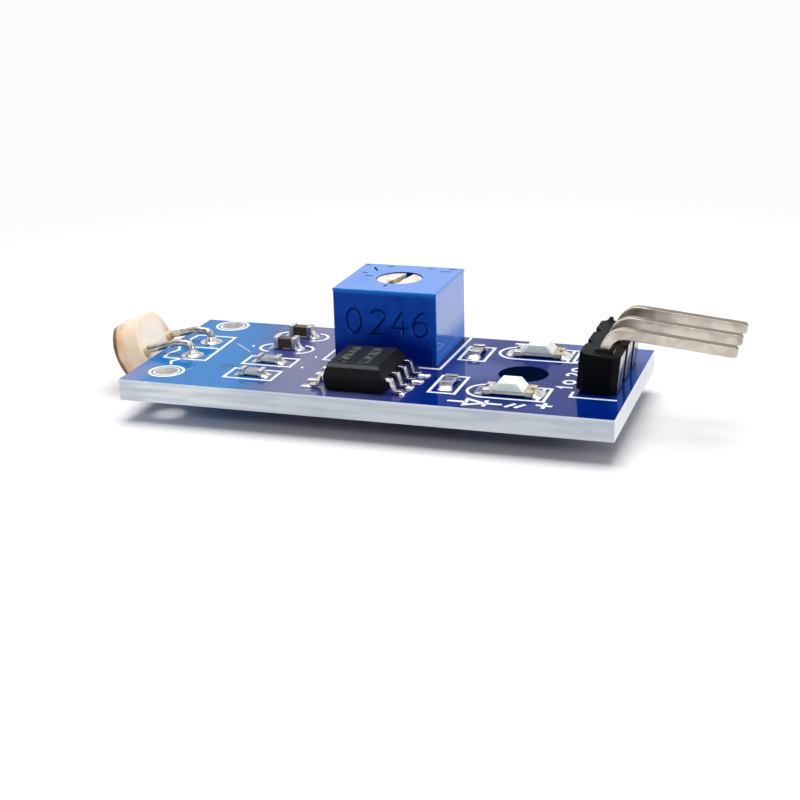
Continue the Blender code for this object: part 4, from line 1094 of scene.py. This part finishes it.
# %% [markdown]
# ## White print
# The board's print is a film of white ink, 0.02 mm thick: outlines round the parts and a few plain
# signs and numbers, all drawn with the strip tool. Its sheen is duller than the mask's, and worn
# patches let a little blue through.

# %% Ink
def ink_look():
    s = Shader("white_ink")
    spot = s.place()
    grain = s.noise(spot, 6.0, 4.0, 0.7)
    worn = s.noise(spot, 2.0, 3.0)
    tone = s.blend(grain.step(0.3, 0.6), (0.68, 0.75, 0.86), (0.9, 0.93, 0.96))
    tone = s.blend(worn.step(0.6, 0.8) * 0.3, tone, (0.4, 0.48, 0.68))
    return s.done(tone, 0.42, Normal=s.bump(grain, 0.004, 0.5))


ink = ink_look()


def printed(name, *strips):
    """Joins strips of ink into one piece."""
    piece = settled(joined(list(strips), name), ink)
    print(name, "has", len(strips), "strips and", len(piece.data.polygons), "faces")


print("Ink line width", LINE_WIDTH, "mm")

# %% Print round the photocell and the corner holes
HOLE_PRINT_RADIUS = 1.1
printed(
    "print_photocell",
    strip([(-15.2, -2.1), (-12.2, -2.1), (-12.35, 3.2), (-15.1, 3.2)]),
    strip([(-15.2, -2.1), (-15.3, -1.2), (-14.95, -0.35), (-15.3, 0.5), (-12.28, 0.55)]),
    strip([(-15.3, 0.5), (-14.9, 1.3), (-15.25, 2.2), (-15.1, 3.2)]),
    strip([(-13.9, -2.1), (-14.35, -2.7), (-14.1, -3.35)]),
    strip([(-11.7, 2.01), (-10.04, 0.38)], width=0.04),
    strip(ring(CORNER_HOLES[0], HOLE_PRINT_RADIUS), closed=True),
    strip(ring(CORNER_HOLES[1], HOLE_PRINT_RADIUS), closed=True),
)

# %% Print round the chip parts
def brackets(y):
    """Two half rings that face each other round a capacitor."""
    return [strip(ring((-8.9, y), 0.85, 90, 270, 16)), strip(ring((-6.9, y), 0.85, -90, 90, 16))]


printed(
    "print_left_row",
    strip(rectangle(-9.6, -5.0, -6.35, -3.1), closed=True),
    strip(rectangle(-9.55, -2.1, -6.2, -0.4), closed=True),
    *brackets(1.65),
    *brackets(4.5),
)
printed(
    "print_series",
    strip(rectangle(4.03, 2.0, 5.73, 4.97), closed=True),
    strip(rectangle(4.0, -4.72, 5.68, -1.41), closed=True),
)

# %% Print round the trimmer
printed(
    "print_trimmer",
    strip([(2.0, -0.24), (3.43, -0.24), (3.55, 6.85)]),
    strip([(-3.4, -0.1), (-4.62, -0.1), (-4.45, 6.85)]),
)

# %% Print round the lights
SIGN_WIDTH = 0.24


def sign(route, closed=False):
    return strip(route, closed, width=SIGN_WIDTH)


def light_outline(left, right, low, high):
    radius = (high - low) / 2
    middle = (low + high) / 2
    bend = ring((left + radius, middle), radius, 90, 270, 16)
    return bend + [(right, low), (right, high)]


def plus(centre, size):
    x, y = centre
    return [
        sign([(x - size / 2, y), (x + size / 2, y)]),
        sign([(x, y - size / 2), (x, y - 0.1)]),
        sign([(x, y + 0.1), (x, y + size / 2)]),
    ]


def diode_sign(x, y, size):
    """The general sign of a diode, a triangle against a bar, on its line."""
    half = size * 0.32
    return [
        sign([(x - size, y), (x - half, y)]),
        sign([(x - half, y - half), (x + half, y), (x - half, y + half)], closed=True),
        sign([(x + half + 0.12, y - half), (x + half + 0.12, y + half)]),
        sign([(x + half + 0.22, y), (x + size, y)]),
    ]


printed(
    "print_lights",
    strip(light_outline(6.24, 11.27, -4.86, -2.4), closed=True),
    strip([(10.85, -4.8), (10.85, -2.46)]),
    strip(light_outline(6.26, 11.4, 2.99, 5.59), closed=True),
    strip([(11.0, 3.05), (11.0, 5.53)]),
    *plus((11.49, -5.55), 1.0),
    *diode_sign(7.3, -5.95, 1.7),
    sign([(9.25, -6.3), (9.75, -5.6)]),
    sign([(9.85, -6.3), (10.35, -5.6)]),
    *diode_sign(8.2, 6.25, 1.4),
)

# %% Print by the header
strips = [strip([(12.63, -2.6), (12.63, -3.6), (15.5, -3.6)])]
for number in (1, 2, 3):
    low, high = box_of(f"header_pin_{number}")
    y = (low.y + high.y) / 2
    strips += number_strips(number, (12.45, y - 0.45), 0.9, math.pi / 2, width=0.2)
    strips.append(strip(ring((12.02, y + 0.85), 0.34), closed=True, width=0.2))
printed("print_header", *strips)

# %% [markdown]
# ## Vias
# Where a copper track changes faces, a tiny plated hole joins the two. Three show on this board as
# bright specks.

# %% Vias
VIAS = ((-5.33, 0.41), (-5.4, -1.9), (-10.41, 1.8))
VIA_PROFILE = [(0.04, -0.01), (0.05, 0.01), (0.09, 0.015), (0.12, -0.01)]
for index, centre in enumerate(VIAS, start=1):
    settled(spun(f"via_{index}", (*centre, BOARD_TOP), VIA_PROFILE, 20), solder_look)
print("Vias made:", len(VIAS))

# %% [markdown]
# ## Floor and daylight
# The photograph has a white table and white surroundings. The floor is white and catches the
# shadow of the board, which stands on its solder tails. The world is white to the camera and in
# most reflections, but dark in those that look towards the photographer's side, as a studio is;
# without that, metal in a white room has no shape. One broad lamp above and behind makes the soft
# shadow in front, a weaker one brightens the right-hand end, and a small one lifts the front faces.

# %% Floor, world and lamps
FLOOR_SIZE, FLOOR_GAP = 3.0, 0.02 * MM
tail = min(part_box(f"header_pin_{number}")[0].z for number in (1, 2, 3))


def floor_look():
    """White paper near the object, which fades into an even white further off."""
    s = Shader("white_table")
    x, y = s.axes(s.place())[:2]
    far = s.apart(x, y, (0, 0)).step(35, 75)
    seen = s.node("ShaderNodeLightPath", output="Is Camera Ray")
    paper = s.node(
        "ShaderNodeBsdfPrincipled",
        inputs={"Base Color": (0.81, 0.81, 0.81), "Roughness": 0.9, "Specular IOR Level": 0.2},
    )
    white = s.node("ShaderNodeEmission", inputs={"Color": (0.965, 0.965, 0.965), "Strength": 1.0})
    mixed = s.node("ShaderNodeMixShader", inputs={0: far * seen, 1: paper, 2: white})
    s.node_out(mixed)
    return s.material


none_selected()
bpy.ops.mesh.primitive_plane_add(size=FLOOR_SIZE, location=(0, 0, tail - FLOOR_GAP))
floor = bpy.context.active_object
floor.name = "floor"
floor.data.materials.append(floor_look())
floor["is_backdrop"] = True

world = bpy.data.worlds.new("white_room")
bpy.context.scene.world = world
world.use_nodes = True
world.node_tree.nodes.clear()


class WorldShader(Shader):
    """The same helper for the world, which has a node tree and no material."""

    def __init__(self, tree):
        self.tree = tree


sky = WorldShader(world.node_tree)
path = sky.node("ShaderNodeLightPath", output="Is Camera Ray")
glossy = Wire(sky, path.socket.node.outputs["Is Glossy Ray"])
through = Wire(sky, path.socket.node.outputs["Is Transmission Ray"])
seen = path.larger(glossy).larger(through)
WHITE_SEEN, ROOM_LIGHT = 0.975, 0.5
toward = sky.axes(sky.node("ShaderNodeTexCoord", output="Generated"))[1]
dark_room = (1 - path) * toward.step(0.1, -0.45) * 0.65
strength = (seen * (WHITE_SEEN - ROOM_LIGHT) + ROOM_LIGHT) * (1 - dark_room)
back = sky.node("ShaderNodeBackground", inputs={"Color": (1.0, 1.0, 1.0), "Strength": strength})
end = world.node_tree.nodes.new("ShaderNodeOutputWorld")
world.node_tree.links.new(back.socket, end.inputs["Surface"])


def lamp(name, place, size, watts):
    """A round lamp at place, in metres, that points at the origin."""
    data = bpy.data.lights.new(name, "AREA")
    data.shape = "DISK"
    data.size = size
    data.energy = watts
    made = added(name, data)
    made.location = place
    made.rotation_euler = (-Vector(place)).to_track_quat("-Z", "Y").to_euler()


lamp("lamp_above", (-0.02, 0.04, 0.42), size=0.35, watts=1.75)
lamp("lamp_right", (0.4, -0.12, 0.12), size=0.3, watts=0.5)
lamp("lamp_front", (0.08, -0.4, 0.3), size=0.15, watts=0.35)
print("Floor at", round(tail / MM, 2), "mm")

# %% [markdown]
# ## Camera
# The view was fitted to the photograph: 18.6 degrees round to the right, 19.1 degrees above the
# table, rolled by 1.6 degrees, with a lens of 70 mm at 102 mm from the board.

# %% Camera
AZIMUTH, ELEVATION, ROLL = math.radians(18.591), math.radians(19.118), math.radians(-1.558)
SHIFT_X, SHIFT_Y, DISTANCE, LENS = -0.623, 2.315, 101.573, 70.419
away = Vector((
    math.sin(AZIMUTH) * math.cos(ELEVATION), -math.cos(AZIMUTH) * math.cos(ELEVATION), math.sin(ELEVATION)
))
level = (-away).cross(Vector((0, 0, 1))).normalized()
upward = level.cross(-away)
right = level * math.cos(ROLL) + upward * math.sin(ROLL)
up = upward * math.cos(ROLL) - level * math.sin(ROLL)
eye = right * -SHIFT_X + up * -SHIFT_Y + away * DISTANCE + Vector((0, 0, BOARD_TOP))
camera_data = bpy.data.cameras.new("camera")
camera_data.lens = LENS
camera_data.clip_start = 0.005
camera = added("camera", camera_data)
camera.matrix_world = Matrix.Translation(eye * MM) @ Matrix((right, up, away)).transposed().to_4x4()
bpy.context.scene.camera = camera
bpy.context.scene.view_settings.view_transform = "Standard"
print("Camera at", rounded(eye), "mm")

# %% [markdown]
# ## Last measures
# The dressed model must fill the CAD model's box and no more, so its box is printed.

# %% Size and finish
low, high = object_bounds()
print("Visual box, mm:", [round(1000 * side, 2) for side in high - low])
